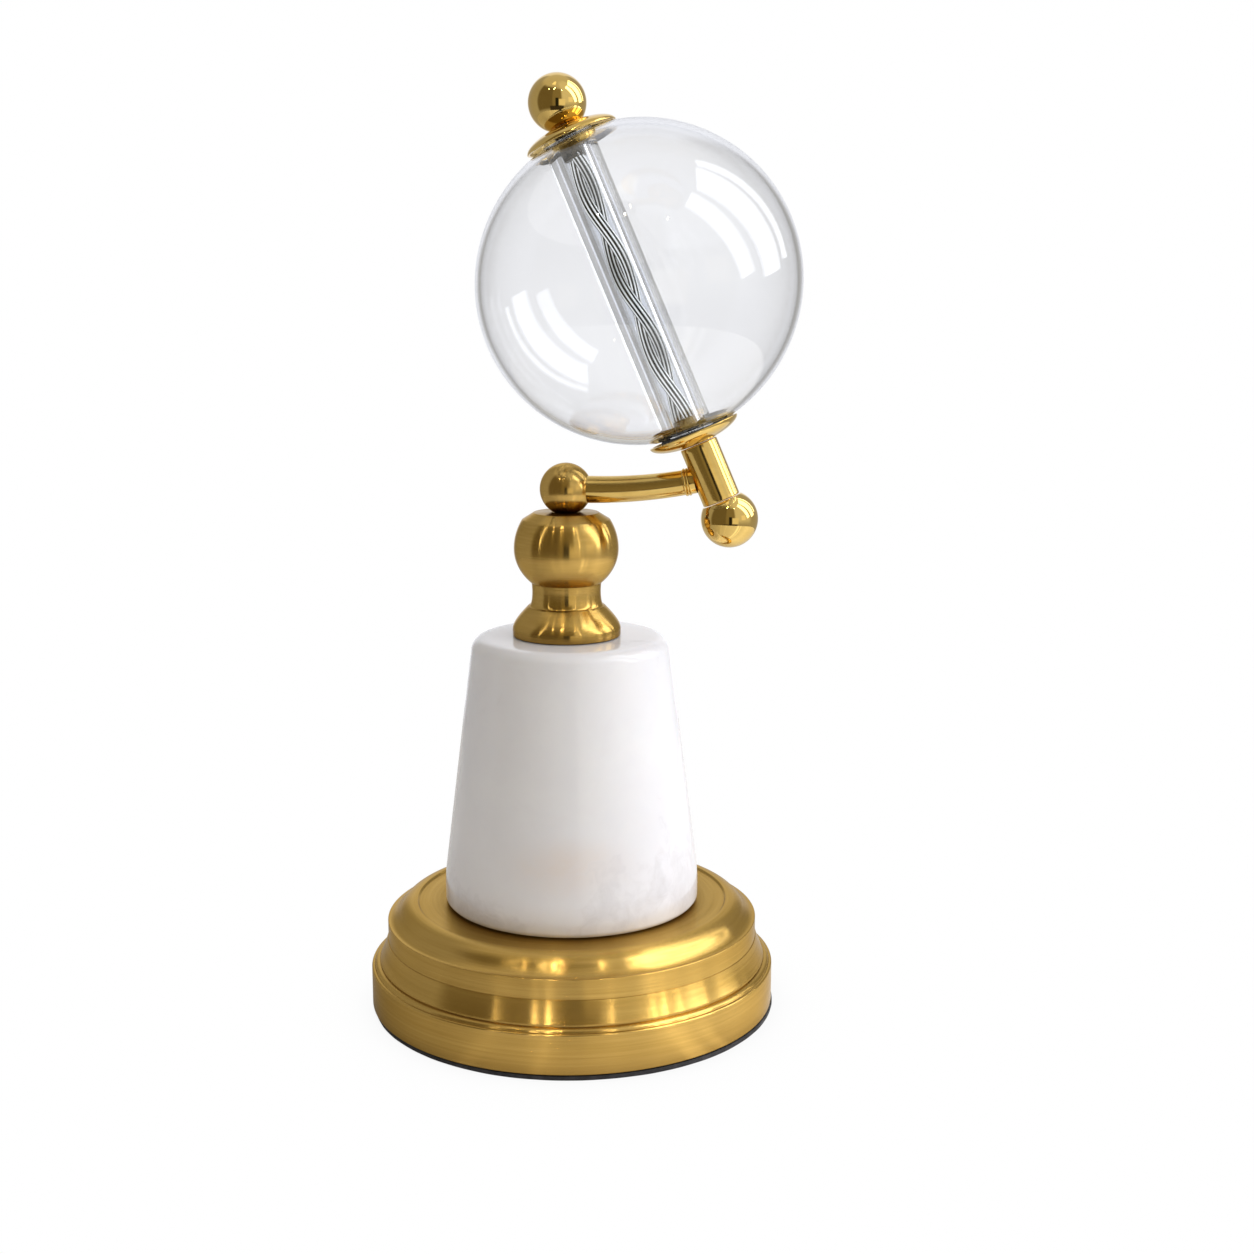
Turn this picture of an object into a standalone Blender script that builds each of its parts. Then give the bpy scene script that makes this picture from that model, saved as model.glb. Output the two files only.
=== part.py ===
"""Glass globe ornament on a tilted axis, with its brass and marble stand.

Metres, +Z up. The origin is the middle of the underside, on the surface that the
ornament stands on. +X is the side that the curved arm reaches to.
"""
import math

import bmesh
import bpy
from mathutils import Matrix, Vector

# Clearance between pieces that touch
GAP = 0.0003

# Pad under the base
PAD_THICKNESS = 0.0017
PAD_INSET = 0.0003
PAD_OFFSET = 0.0006

# Stepped brass base, turned in one piece
BASE_DIAMETER = 0.1562
BASE_HEIGHT = 0.0402
SIDE_HEIGHT = 0.0154
SIDE_ROUND = 0.0007
BEAD_WIDTH = 0.0020
BEAD_HEIGHT = 0.0014
GROOVE_INSET = 0.0032
GROOVE_RISE = 0.0022
TIER_INSET = 0.0066
BAND_RISE = 0.0256
BAND_HEIGHT = 0.0077
SHOULDER_WIDTH = 0.0115
RECESS_DEPTH = 0.0007
BASE_EDGE = 0.0005

# Marble cone
MARBLE_HEIGHT = 0.1037
MARBLE_FOOT_DIAMETER = 0.0979
MARBLE_FOOT_UPRIGHT = 0.0105
MARBLE_BLEND = 0.0600
MARBLE_TOP_DIAMETER = 0.0742
MARBLE_FOOT_ROUND = 0.0022
MARBLE_TOP_ROUND = 0.0055

# Turned brass neck, which stands a little to the side of the base's middle
NECK_OFFSET = -0.0014
NECK_FOOT_DIAMETER = 0.0410
NECK_FOOT_HEIGHT = 0.0110
NECK_COLLAR_DIAMETER = 0.0290
NECK_WAIST_DIAMETER = 0.0260
NECK_WAIST_HEIGHT = 0.0172
NECK_CREASE_HEIGHT = 0.0200
NECK_BULGE_DIAMETER = 0.0396
NECK_BULGE_HEIGHT = 0.0330
NECK_CHAMFER_HEIGHT = 0.0440
NECK_HEIGHT = 0.0474
NECK_TOP_DIAMETER = 0.0246
NECK_TOP_CROWN = 0.0006

# Small ball in the neck's top, and the curved arm that leaves it
ARM_BALL_DIAMETER = 0.0197
ARM_BALL_SINK = 0.00175
ARM_ROOT_DIAMETER = 0.0102
ARM_TIP_DIAMETER = 0.0094
ARM_REACH = 0.0550
ARM_STRAIGHT = 0.0095
ARM_BEND_RADIUS = 0.1950
ARM_BEAD_DIAMETER = 0.0104
ARM_BEAD_WIDTH = 0.0018
ARM_BEAD_STANDOFF = 0.0008

# Axis of the globe
AXIS_TILT_DEG = 23.1
SLEEVE_DIAMETER = 0.0143
SLEEVE_LENGTH = 0.0224
SLEEVE_JOINT = 0.0133
SLEEVE_EDGE = 0.0004
BALL_DIAMETER = 0.0213
UPPER_BALL_FLAT = 0.0128
LOWER_BALL_FLAT = 0.0154

# Glass globe, a hollow blown shell that is open at both poles. The dish and the cap
# hold it a little off its middle, and the tube leans to the other side of their axis.
GLOBE_DIAMETER = 0.1200
GLOBE_POLE_LENGTH = 0.1168
GLOBE_WALL = 0.0020
GLOBE_OFFSET = 0.0024
GLOBE_OPENING_DIAMETER = 0.0292

# Dish under the globe and the matching cap on it
DISH_DIAMETER = 0.0348
DISH_DEPTH = 0.0047
DISH_WALL = 0.0011
DISH_FLOOR = 0.0015
DISH_FLAT_DIAMETER = 0.0148

# Clear tube, the twisted core in it, and the gasket at its foot
TUBE_DIAMETER = 0.0193
TUBE_OFFSET = -0.0016
TUBE_BORE = 0.0096
CORE_DIAMETER = 0.0088
CORE_LOBE_PITCH = 0.0310
CORE_END_LENGTH = 0.0060
GASKET_RISE = 0.0045

# Fineness of the turned pieces
LARGE_SEGMENTS = 38
MEDIUM_SEGMENTS = 26
SMALL_SEGMENTS = 20
ROD_SEGMENTS = 12
CORE_SIDES = 12


def clear_scene():
    for old in list(bpy.data.objects):
        bpy.data.objects.remove(old, do_unlink=True)


def material(name, colour, roughness, metallic, transmission=0.0):
    made = bpy.data.materials.new(name)
    made.use_nodes = True
    shader = made.node_tree.nodes["Principled BSDF"]
    shader.inputs["Base Color"].default_value = (*colour, 1.0)
    shader.inputs["Roughness"].default_value = roughness
    shader.inputs["Metallic"].default_value = metallic
    shader.inputs["Transmission Weight"].default_value = transmission
    return made


def finish(name, mesh, made, parent=None):
    mesh.shade_smooth()
    mesh.set_sharp_from_angle(angle=math.radians(32.0))
    mesh.materials.append(made)
    piece = bpy.data.objects.new(name, mesh)
    bpy.context.collection.objects.link(piece)
    piece.parent = parent
    return piece


def arc(centre, radii, start_deg, end_deg, steps):
    """Points on an elliptical arc in the profile's plane, both ends included."""
    points = []
    for i in range(steps + 1):
        turn = math.radians(start_deg + (end_deg - start_deg) * i / steps)
        points.append((centre[0] + radii[0] * math.cos(turn), centre[1] + radii[1] * math.sin(turn)))
    return points


def sweep_curve(start, control, end, steps):
    """Points on a curve that leaves start towards control and comes in to end from it."""
    points = []
    for i in range(steps + 1):
        t = i / steps
        weights = ((1 - t) ** 2, 2 * t * (1 - t), t ** 2)
        points.append(tuple(sum(w * p[k] for w, p in zip(weights, (start, control, end))) for k in (0, 1)))
    return points


def rounded_corner(before, corner, after, radius, steps):
    """Points of the arc of this radius that rounds the corner between two straight lines."""
    corner = Vector(corner)
    to_before = (Vector(before) - corner).normalized()
    to_after = (Vector(after) - corner).normalized()
    half = to_before.angle(to_after) / 2
    centre = corner + (to_before + to_after).normalized() * radius / math.sin(half)
    first = corner + to_before * radius / math.tan(half) - centre
    last = corner + to_after * radius / math.tan(half) - centre
    span = first.angle(last)
    points = []
    for i in range(steps + 1):
        t = i / steps
        blend = (first * math.sin((1 - t) * span) + last * math.sin(t * span)) / math.sin(span)
        points.append(tuple(centre + blend))
    return points


def turned(name, profile, segments, made, parent=None, ring=False):
    """A solid of revolution about Z. The profile runs up the outer side, axis to axis.

    With ring set the profile is a closed loop that stays off the axis.
    """
    bm = bmesh.new()
    verts = [bm.verts.new((radius, 0.0, height)) for radius, height in profile]
    edges = [bm.edges.new(pair) for pair in zip(verts, verts[1:])]
    if ring:
        edges.append(bm.edges.new((verts[-1], verts[0])))
    bmesh.ops.spin(bm, geom=verts + edges, axis=(0, 0, 1), cent=(0, 0, 0),
                   steps=segments, angle=math.tau, use_merge=True)
    bmesh.ops.remove_doubles(bm, verts=bm.verts, dist=1e-6)
    bmesh.ops.dissolve_degenerate(bm, edges=bm.edges, dist=1e-6)
    bmesh.ops.recalc_face_normals(bm, faces=bm.faces)
    mesh = bpy.data.meshes.new(name)
    bm.to_mesh(mesh)
    bm.free()
    return finish(name, mesh, made, parent)


def cutter(name, mesh_maker, matrix):
    """A hidden shape that is only there to be cut out of another."""
    bm = bmesh.new()
    mesh_maker(bm)
    mesh = bpy.data.meshes.new(name)
    bm.to_mesh(mesh)
    bm.free()
    shape = bpy.data.objects.new(name, mesh)
    bpy.context.collection.objects.link(shape)
    shape.matrix_world = matrix
    shape.hide_render = True
    shape.display_type = "WIRE"
    return shape


def cut(piece, shape):
    modifier = piece.modifiers.new("Cut", "BOOLEAN")
    modifier.operation = "DIFFERENCE"
    modifier.solver = "EXACT"
    modifier.object = shape


def foot_pad(made):
    radius = BASE_DIAMETER / 2 - PAD_INSET
    profile = [(0, 0), (radius, 0), (radius, PAD_THICKNESS), (0, PAD_THICKNESS)]
    pad = turned("foot_pad", profile, LARGE_SEGMENTS, made)
    pad.location = (PAD_OFFSET, 0, 0)
    return pad


def stepped_base(made, bottom):
    """Two tiers: an upright side, a bead, a round, an upright band, and an ogee up to the lip."""
    outer = BASE_DIAMETER / 2
    tier = outer - TIER_INSET
    lip = tier - SHOULDER_WIDTH
    side_top = bottom + SIDE_HEIGHT
    band_low = bottom + BAND_RISE
    band_top = band_low + BAND_HEIGHT
    top = bottom + BASE_HEIGHT
    shoulder_up = top - band_top

    profile = [(0, bottom), (outer - BASE_EDGE, bottom), (outer, bottom + BASE_EDGE)]
    profile += arc((outer - SIDE_ROUND, side_top - SIDE_ROUND), (SIDE_ROUND, SIDE_ROUND), 0, 90, 2)
    # The fine bead and groove above the upright side, and the round up to the upper tier
    groove = (outer - GROOVE_INSET, side_top + GROOVE_RISE)
    profile += arc((groove[0] + GAP, side_top), (BEAD_WIDTH - GAP, BEAD_HEIGHT), 0, 90, 2)
    round_turn = (tier + 0.45 * (groove[0] - tier), groove[1] + 0.48 * (band_low - groove[1]))
    profile += sweep_curve(groove, round_turn, (tier + GAP, band_low), 4)
    # The upright band
    profile += [(tier, band_low + GAP), (tier, band_top - GAP), (tier - GAP, band_top)]
    # The ogee: hollow at the band, then a round over to the lip
    crown_radii = (0.70 * SHOULDER_WIDTH, 1.30 * shoulder_up)
    crown_centre = (lip + 0.02 * SHOULDER_WIDTH, top - crown_radii[1])
    crown = arc(crown_centre, crown_radii, 38, 90, 4)
    slope = crown_radii[1] / crown_radii[0] / math.tan(math.radians(38))
    hollow_end = crown[0]
    hollow_low = band_top + 0.02 * shoulder_up
    hollow_turn = (hollow_end[0] + (hollow_end[1] - hollow_low) / slope, hollow_low)
    profile += sweep_curve((tier - GAP, band_top), hollow_turn, hollow_end, 3)[1:]
    profile += crown[1:]
    # The lip and the sunk floor that the marble stands on
    profile += [(lip - RECESS_DEPTH, top - RECESS_DEPTH), (0, top - RECESS_DEPTH)]
    return turned("stepped_base", profile, LARGE_SEGMENTS, made)


def marble_cone(made, bottom):
    foot = MARBLE_FOOT_DIAMETER / 2
    head = MARBLE_TOP_DIAMETER / 2
    top = bottom + MARBLE_HEIGHT
    shoulder = bottom + MARBLE_FOOT_UPRIGHT
    corners = [(0, bottom), (foot, bottom), (foot, shoulder), (head, top), (0, top)]
    rounds = [MARBLE_FOOT_ROUND, MARBLE_BLEND, MARBLE_TOP_ROUND]
    profile = [corners[0]]
    for i, (radius, steps) in enumerate(zip(rounds, (3, 2, 4))):
        profile += rounded_corner(*corners[i:i + 3], radius, steps)
    profile.append(corners[-1])
    return turned("marble_cone", profile, LARGE_SEGMENTS, made)


def turned_neck(made, bottom, ball_centre):
    """Foot flange, collar, waist, bulb and chamfered top, with a round seat for the ball."""
    foot = NECK_FOOT_DIAMETER / 2
    collar = NECK_COLLAR_DIAMETER / 2
    waist = NECK_WAIST_DIAMETER / 2
    bulge = NECK_BULGE_DIAMETER / 2
    rim = NECK_TOP_DIAMETER / 2
    top = bottom + NECK_HEIGHT
    belly = bottom + NECK_BULGE_HEIGHT
    foot_top = bottom + NECK_FOOT_HEIGHT
    crease = bottom + NECK_CREASE_HEIGHT
    waist_height = bottom + NECK_WAIST_HEIGHT
    chamfer = bottom + NECK_CHAMFER_HEIGHT
    upright = 0.28 * NECK_FOOT_HEIGHT

    profile = [(0, bottom), (foot - GAP, bottom), (foot, bottom + GAP)]
    # The flange rounds over from its upright edge to the collar
    profile += sweep_curve((foot, bottom + upright), (foot - 2 * GAP, bottom + 0.54 * NECK_FOOT_HEIGHT),
                           (collar + GAP, foot_top), 4)
    profile.append((collar, foot_top))
    # The waist curves in above the collar and runs up to the crease under the bulb
    profile += sweep_curve((collar, foot_top + GAP), (waist, foot_top + GAP), (waist, waist_height), 3)[1:]
    crease_radius = waist + 0.25 * (waist - rim)
    profile.append((crease_radius, crease))
    # The bulb, a little flatter below than above
    lower = belly - crease
    low_turn = 44.0
    low_radii = (bulge - crease_radius) / (1 - math.cos(math.radians(low_turn)))
    profile += arc((bulge - low_radii, belly), (low_radii, lower / math.sin(math.radians(low_turn))),
                   -low_turn, 0, 5)[1:]
    shoulder = bulge * 0.84
    high_turn = math.degrees(math.acos(0.84))
    profile += arc((0, belly), (bulge, (chamfer - belly) / math.sin(math.radians(high_turn))), 0, high_turn, 3)[1:]
    # The chamfer, the flat rim and the seat
    profile.append((shoulder - GAP, chamfer + GAP))
    rim_top = top - NECK_TOP_CROWN
    profile += [(rim + GAP, rim_top - GAP), (rim - GAP, rim_top)]
    seat = ARM_BALL_DIAMETER / 2 + GAP
    seat_turn = math.degrees(math.asin((top - ball_centre) / seat))
    profile += arc((0, ball_centre), (seat, seat), seat_turn, -90, 3)
    neck = turned("turned_neck", profile, MEDIUM_SEGMENTS, made)
    neck.location = (NECK_OFFSET, 0, 0)
    return neck


def ball(name, made, diameter, parent=None, centre=0.0, flat_diameter=None, flat_side=-1):
    """A turned ball on the Z axis. flat_side says which end is faced off to flat_diameter."""
    radius = diameter / 2
    cut_turn = -90.0
    profile = []
    if flat_diameter is not None:
        cut_turn = -math.degrees(math.acos(flat_diameter / diameter))
        profile.append((0, radius * math.sin(math.radians(cut_turn))))
    profile += arc((0, 0), (radius, radius), cut_turn, 90, 9)
    profile = [(reach, centre - flat_side * height) for reach, height in profile]
    return turned(name, profile, SMALL_SEGMENTS, made, parent)


def ball_reach(flat_diameter):
    """How far a faced ball's centre is from its flat."""
    return math.sqrt(BALL_DIAMETER ** 2 - flat_diameter ** 2) / 2


def curved_arm(made, ball_centre, axis_matrix):
    """A rod that leaves the ball level, bends up, and ends in a bead against the sleeve."""
    bead = ARM_BEAD_DIAMETER / 2
    tip = ARM_TIP_DIAMETER / 2
    taper = (ARM_ROOT_DIAMETER - ARM_TIP_DIAMETER) / 2
    bend = math.asin((ARM_REACH - ARM_STRAIGHT) / ARM_BEND_RADIUS)
    bead_end = SLEEVE_DIAMETER / 2 + GAP + ARM_BEAD_STANDOFF
    bead_start = bead_end + ARM_BEAD_WIDTH
    arc_length = ARM_BEND_RADIUS * bend

    stations = [(0.0, tip + taper), (ARM_STRAIGHT, tip + taper)]
    plain = arc_length - bead_start
    for i in range(1, 7):
        stations.append((ARM_STRAIGHT + plain * i / 7, tip + taper * (1 - i / 7)))
    bead_profile = [(bead_start, tip), (bead_start - 0.25 * ARM_BEAD_WIDTH, bead),
                    (bead_end + 0.25 * ARM_BEAD_WIDTH, bead), (bead_end, tip), (0.0, tip)]
    stations += [(ARM_STRAIGHT + arc_length - back, radius) for back, radius in bead_profile]

    bm = bmesh.new()
    rings = []
    for along, radius in stations:
        turn = max(0.0, along - ARM_STRAIGHT) / ARM_BEND_RADIUS
        if along <= ARM_STRAIGHT:
            middle = Vector((along, 0, ball_centre))
        else:
            middle = Vector((ARM_STRAIGHT + ARM_BEND_RADIUS * math.sin(turn), 0,
                             ball_centre + ARM_BEND_RADIUS * (1 - math.cos(turn))))
        up = Vector((-math.sin(turn), 0, math.cos(turn)))
        ring = []
        for k in range(ROD_SEGMENTS):
            around = math.tau * k / ROD_SEGMENTS
            ring.append(bm.verts.new(middle + radius * (up * math.cos(around) + Vector((0, math.sin(around), 0)))))
        rings.append(ring)
    for low, high in zip(rings, rings[1:]):
        for k in range(ROD_SEGMENTS):
            n = (k + 1) % ROD_SEGMENTS
            bm.faces.new((low[k], low[n], high[n], high[k]))
    bm.faces.new(rings[0])
    bm.faces.new(rings[-1])
    bmesh.ops.recalc_face_normals(bm, faces=bm.faces)
    mesh = bpy.data.meshes.new("curved_arm")
    bm.to_mesh(mesh)
    bm.free()
    arm = finish("curved_arm", mesh, made)

    def around_ball(shape):
        bmesh.ops.create_uvsphere(shape, u_segments=24, v_segments=16, radius=ARM_BALL_DIAMETER / 2 + GAP)

    def around_sleeve(shape):
        radius = SLEEVE_DIAMETER / 2 + GAP
        bmesh.ops.create_cone(shape, cap_ends=True, segments=48, radius1=radius, radius2=radius,
                              depth=2 * SLEEVE_LENGTH)

    cut(arm, cutter("ball_clearance", around_ball, Matrix.Translation((NECK_OFFSET, 0, ball_centre))))
    cut(arm, cutter("sleeve_clearance", around_sleeve, axis_matrix))
    arm.location = (NECK_OFFSET, 0, 0)
    return arm


def dish_hollow():
    """Rim radius, floor radius and full depth of the ellipse that hollows the dish."""
    rim = DISH_DIAMETER / 2 - DISH_WALL
    floor = TUBE_DIAMETER / 2 + abs(TUBE_OFFSET) + 2 * GAP
    return rim, floor, (DISH_DEPTH - DISH_FLOOR) / math.sqrt(1 - (floor / rim) ** 2)


def dish(name, made, parent, rim_height, sign):
    """A shallow cup, open towards the globe. sign is -1 for the dish below, 1 for the cap above."""
    outer = DISH_DIAMETER / 2
    flat = DISH_FLAT_DIAMETER / 2
    flat_turn = math.degrees(math.acos(flat / outer))
    outside_depth = DISH_DEPTH / math.sin(math.radians(flat_turn))
    inner, floor, inside_depth = dish_hollow()
    floor_turn = math.degrees(math.acos(floor / inner))
    profile = [(0, rim_height + DISH_DEPTH)]
    profile += arc((0, rim_height), (outer, outside_depth), flat_turn, 6, 6)
    profile.append((outer - 0.2 * DISH_WALL, rim_height))
    profile += arc((0, rim_height), (inner, inside_depth), 0, floor_turn, 4)
    profile.append((0, rim_height + DISH_DEPTH - DISH_FLOOR))
    profile = [(radius, sign * height) for radius, height in profile]
    return turned(name, profile, MEDIUM_SEGMENTS, made, parent)


def tilt_sleeve(made, parent, bottom, top):
    """A short round bar between the dish and the lower ball, with fine broken edges."""
    radius = SLEEVE_DIAMETER / 2
    inset = radius - SLEEVE_EDGE
    profile = [(0, bottom), (inset, bottom), (radius, bottom + SLEEVE_EDGE)]
    profile += [(radius, top - SLEEVE_EDGE), (inset, top), (0, top)]
    return turned("tilt_sleeve", profile, SMALL_SEGMENTS, made, parent)


def along_axis(radius):
    """Maker of a cylinder on the tilted axis that is longer than the globe."""
    def fill(shape):
        bmesh.ops.create_cone(shape, cap_ends=True, segments=2 * MEDIUM_SEGMENTS, radius1=radius,
                              radius2=radius, depth=2 * GLOBE_DIAMETER)
    return fill


def glass_globe(made, axis):
    """A hollow shell with an opening at each pole, bored on the axis of the dish and the cap."""
    outer = (GLOBE_DIAMETER / 2, GLOBE_POLE_LENGTH / 2)
    inner = (outer[0] - GLOBE_WALL, outer[1] - GLOBE_WALL)
    start = math.degrees(math.acos((GLOBE_OPENING_DIAMETER / 2 - 2 * GLOBE_OFFSET) / outer[0]))
    profile = arc((0, 0), outer, -start, start, 12)
    profile += arc((0, 0), inner, start, -start, 12)
    globe = turned("glass_globe", profile, MEDIUM_SEGMENTS, made, axis, ring=True)
    globe.location = (GLOBE_OFFSET, 0, 0)
    cut(globe, cutter("globe_bore", along_axis(GLOBE_OPENING_DIAMETER / 2), axis.matrix_world))
    return globe


def inner_tube(made, axis, half_length):
    bore = TUBE_BORE / 2
    outer = TUBE_DIAMETER / 2
    profile = [(bore, -half_length), (outer, -half_length), (outer, half_length), (bore, half_length)]
    tube = turned("inner_tube", profile, SMALL_SEGMENTS, made, axis, ring=True)
    tube.location = (TUBE_OFFSET, 0, 0)
    return tube


def tube_gasket(made, axis, rim_height):
    """A ring that fills the globe's lower opening round the foot of the tube."""
    rim, floor, depth = dish_hollow()
    outer = GLOBE_OPENING_DIAMETER / 2 - GAP
    bottom = GAP - rim_height - depth * math.sqrt(1 - (outer / rim) ** 2)
    top = bottom + GASKET_RISE
    profile = [(0, bottom), (outer, bottom), (outer, top - GAP), (outer - GAP, top), (0, top)]
    gasket = turned("tube_gasket", profile, MEDIUM_SEGMENTS, made, axis)
    beside = axis.matrix_world @ Matrix.Translation((TUBE_OFFSET, 0, 0))
    cut(gasket, cutter("gasket_bore", along_axis(TUBE_DIAMETER / 2 + GAP), beside))
    return gasket


def twisted_core(made, axis, half_length):
    """Two strands twisted together, with a plain round end at each pole."""
    radius = CORE_DIAMETER / 2
    strand = 0.54 * radius
    offset = radius - strand
    twist_length = 2 * (half_length - CORE_END_LENGTH)
    steps = max(8, round(twist_length / CORE_LOBE_PITCH * 5))
    turn_per_metre = -math.pi / CORE_LOBE_PITCH

    def outline(around):
        """Distance from the axis to the pair of strands in one direction."""
        across = abs(math.cos(around))
        side = offset * math.sin(around)
        return offset * across + math.sqrt(strand ** 2 - side ** 2)

    bm = bmesh.new()
    rings = []

    def ring(height, twist, reach):
        made_ring = []
        for k in range(CORE_SIDES):
            around = math.tau * k / CORE_SIDES
            distance = reach(around)
            made_ring.append(bm.verts.new((distance * math.cos(around + twist),
                                           distance * math.sin(around + twist), height)))
        rings.append(made_ring)

    start = -half_length + CORE_END_LENGTH
    ring(-half_length, 0.0, lambda around: radius)
    ring(start - GAP, 0.0, lambda around: radius)
    for i in range(steps + 1):
        along = twist_length * i / steps
        ring(start + along, turn_per_metre * along, outline)
    last = turn_per_metre * twist_length
    ring(half_length - CORE_END_LENGTH + GAP, last, lambda around: radius)
    ring(half_length, last, lambda around: radius)
    for low, high in zip(rings, rings[1:]):
        for k in range(CORE_SIDES):
            n = (k + 1) % CORE_SIDES
            bm.faces.new((low[k], low[n], high[n]))
            bm.faces.new((low[k], high[n], high[k]))
    bm.faces.new(rings[0])
    bm.faces.new(rings[-1])
    bmesh.ops.recalc_face_normals(bm, faces=bm.faces)
    mesh = bpy.data.meshes.new("twisted_core")
    bm.to_mesh(mesh)
    bm.free()
    core = finish("twisted_core", mesh, made, axis)
    core.location = (TUBE_OFFSET, 0, 0)
    return core


def build():
    clear_scene()
    brushed = (0.62, 0.43, 0.17)
    polished = (0.80, 0.56, 0.19)
    base_brass = material("Base brushed brass", brushed, 0.30, 1.0)
    neck_brass = material("Neck brushed brass", brushed, 0.26, 1.0)
    arm_ball_brass = material("Arm ball brushed brass", brushed, 0.26, 1.0)
    arm_brass = material("Arm polished brass", polished, 0.14, 1.0)
    sleeve_brass = material("Sleeve polished brass", polished, 0.12, 1.0)
    lower_ball_brass = material("Lower ball polished brass", polished, 0.08, 1.0)
    upper_ball_brass = material("Upper ball polished brass", polished, 0.08, 1.0)
    dish_brass = material("Dish polished brass", polished, 0.10, 1.0)
    cap_brass = material("Cap polished brass", polished, 0.10, 1.0)
    marble = material("White marble", (0.84, 0.82, 0.80), 0.14, 0.0)
    pad_black = material("Black pad", (0.02, 0.02, 0.022), 0.85, 0.0)
    gasket_black = material("Black rubber", (0.015, 0.015, 0.015), 0.6, 0.0)
    globe_glass = material("Clear globe glass", (0.97, 0.98, 0.98), 0.0, 0.0, 1.0)
    tube_glass = material("Clear tube glass", (0.97, 0.98, 0.98), 0.0, 0.0, 1.0)
    core_steel = material("Twisted steel", (0.45, 0.45, 0.44), 0.3, 1.0)

    # The stand, stacked on its vertical axis
    base_bottom = PAD_THICKNESS + GAP
    marble_bottom = base_bottom + BASE_HEIGHT - RECESS_DEPTH + GAP
    neck_bottom = marble_bottom + MARBLE_HEIGHT + GAP
    neck_top = neck_bottom + NECK_HEIGHT
    arm_ball_centre = neck_top - ARM_BALL_SINK + ARM_BALL_DIAMETER / 2
    foot_pad(pad_black)
    stepped_base(base_brass, base_bottom)
    marble_cone(marble, marble_bottom)
    turned_neck(neck_brass, neck_bottom, arm_ball_centre)
    arm_ball = ball("arm_ball", arm_ball_brass, ARM_BALL_DIAMETER)
    arm_ball.location = (NECK_OFFSET, 0, arm_ball_centre)

    # Heights along the tilted axis, measured from the globe's centre
    nearest = (dish_hollow()[0] - GLOBE_OFFSET) / (GLOBE_DIAMETER / 2)
    rim_height = GLOBE_POLE_LENGTH / 2 * math.sqrt(1 - nearest ** 2) + GAP
    flat_height = rim_height + DISH_DEPTH
    tube_half = flat_height - DISH_FLOOR - GAP
    sleeve_top = -flat_height - GAP
    sleeve_bottom = sleeve_top - SLEEVE_LENGTH
    lower_ball_centre = sleeve_bottom - GAP - ball_reach(LOWER_BALL_FLAT)
    upper_ball_centre = flat_height + GAP + ball_reach(UPPER_BALL_FLAT)
    joint_height = sleeve_top - SLEEVE_JOINT

    # The arm's centre line meets the tilted axis at the joint
    tilt = math.radians(AXIS_TILT_DEG)
    bend = math.asin((ARM_REACH - ARM_STRAIGHT) / ARM_BEND_RADIUS)
    joint = Vector((NECK_OFFSET + ARM_REACH, 0, arm_ball_centre + ARM_BEND_RADIUS * (1 - math.cos(bend))))
    axis_turn = Matrix.Rotation(-tilt, 4, "Y")
    upwards = axis_turn @ Vector((0, 0, 1))
    axis = bpy.data.objects.new("globe_axis", None)
    bpy.context.collection.objects.link(axis)
    axis.matrix_world = Matrix.Translation(joint - upwards * joint_height) @ axis_turn

    curved_arm(arm_brass, arm_ball_centre, Matrix.Translation(joint) @ axis_turn)
    tilt_sleeve(sleeve_brass, axis, sleeve_bottom, sleeve_top)
    ball("lower_ball", lower_ball_brass, BALL_DIAMETER, axis, lower_ball_centre, LOWER_BALL_FLAT, 1)
    dish("lower_dish", dish_brass, axis, rim_height, -1)
    glass_globe(globe_glass, axis)
    tube_gasket(gasket_black, axis, rim_height)
    inner_tube(tube_glass, axis, tube_half)
    twisted_core(core_steel, axis, tube_half)
    dish("top_cap", cap_brass, axis, rim_height, 1)
    ball("top_ball", upper_ball_brass, BALL_DIAMETER, axis, upper_ball_centre, UPPER_BALL_FLAT, -1)


build()
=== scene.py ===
"""Glass globe ornament with its brass and marble stand, dressed for its picture.

Metres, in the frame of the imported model: +Z up, the origin under the middle of the base,
+X the side that the curved arm reaches to. The camera looks roughly along +Y.
"""
import math

import bpy
import numpy as np
from mathutils import Matrix, Quaternion, Vector


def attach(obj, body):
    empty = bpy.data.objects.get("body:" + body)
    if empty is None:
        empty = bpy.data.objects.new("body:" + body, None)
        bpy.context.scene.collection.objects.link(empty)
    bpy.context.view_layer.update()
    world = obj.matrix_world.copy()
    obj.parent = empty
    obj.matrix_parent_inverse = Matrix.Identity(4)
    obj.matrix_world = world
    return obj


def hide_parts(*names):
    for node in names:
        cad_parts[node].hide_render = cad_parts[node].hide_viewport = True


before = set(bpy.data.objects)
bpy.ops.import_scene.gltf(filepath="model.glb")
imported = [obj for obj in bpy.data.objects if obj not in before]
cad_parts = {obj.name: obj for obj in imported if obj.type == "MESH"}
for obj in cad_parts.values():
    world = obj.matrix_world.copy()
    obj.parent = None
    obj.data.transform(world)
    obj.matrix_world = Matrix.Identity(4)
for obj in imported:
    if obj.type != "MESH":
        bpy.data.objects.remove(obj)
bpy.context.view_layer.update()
bpy.context.scene.view_settings.view_transform = "Standard"

MM = 0.001

# Foot pad
# A thin sheet of black rubber, cut by hand to the base's outline and glued under it.
# Its edge shows as a dark line that wanders a little along the brass.
PAD_RADIUS = 77.8
PAD_SHIFT = 0.6
PAD_TOP = 1.7
PAD_EDGE_WANDER = 0.12


def arc(centre, radii, start_deg, end_deg, steps):
    """Points on an elliptical arc of a turned profile, both ends included."""
    turns = np.radians(np.linspace(start_deg, end_deg, steps + 1))
    return [(centre[0] + radii[0] * math.cos(t), centre[1] + radii[1] * math.sin(t)) for t in turns]


def straight(start, end, steps):
    """Evenly spaced points between two profile points, both ends included."""
    return [tuple(p) for p in np.linspace(start, end, steps + 1)]


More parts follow.
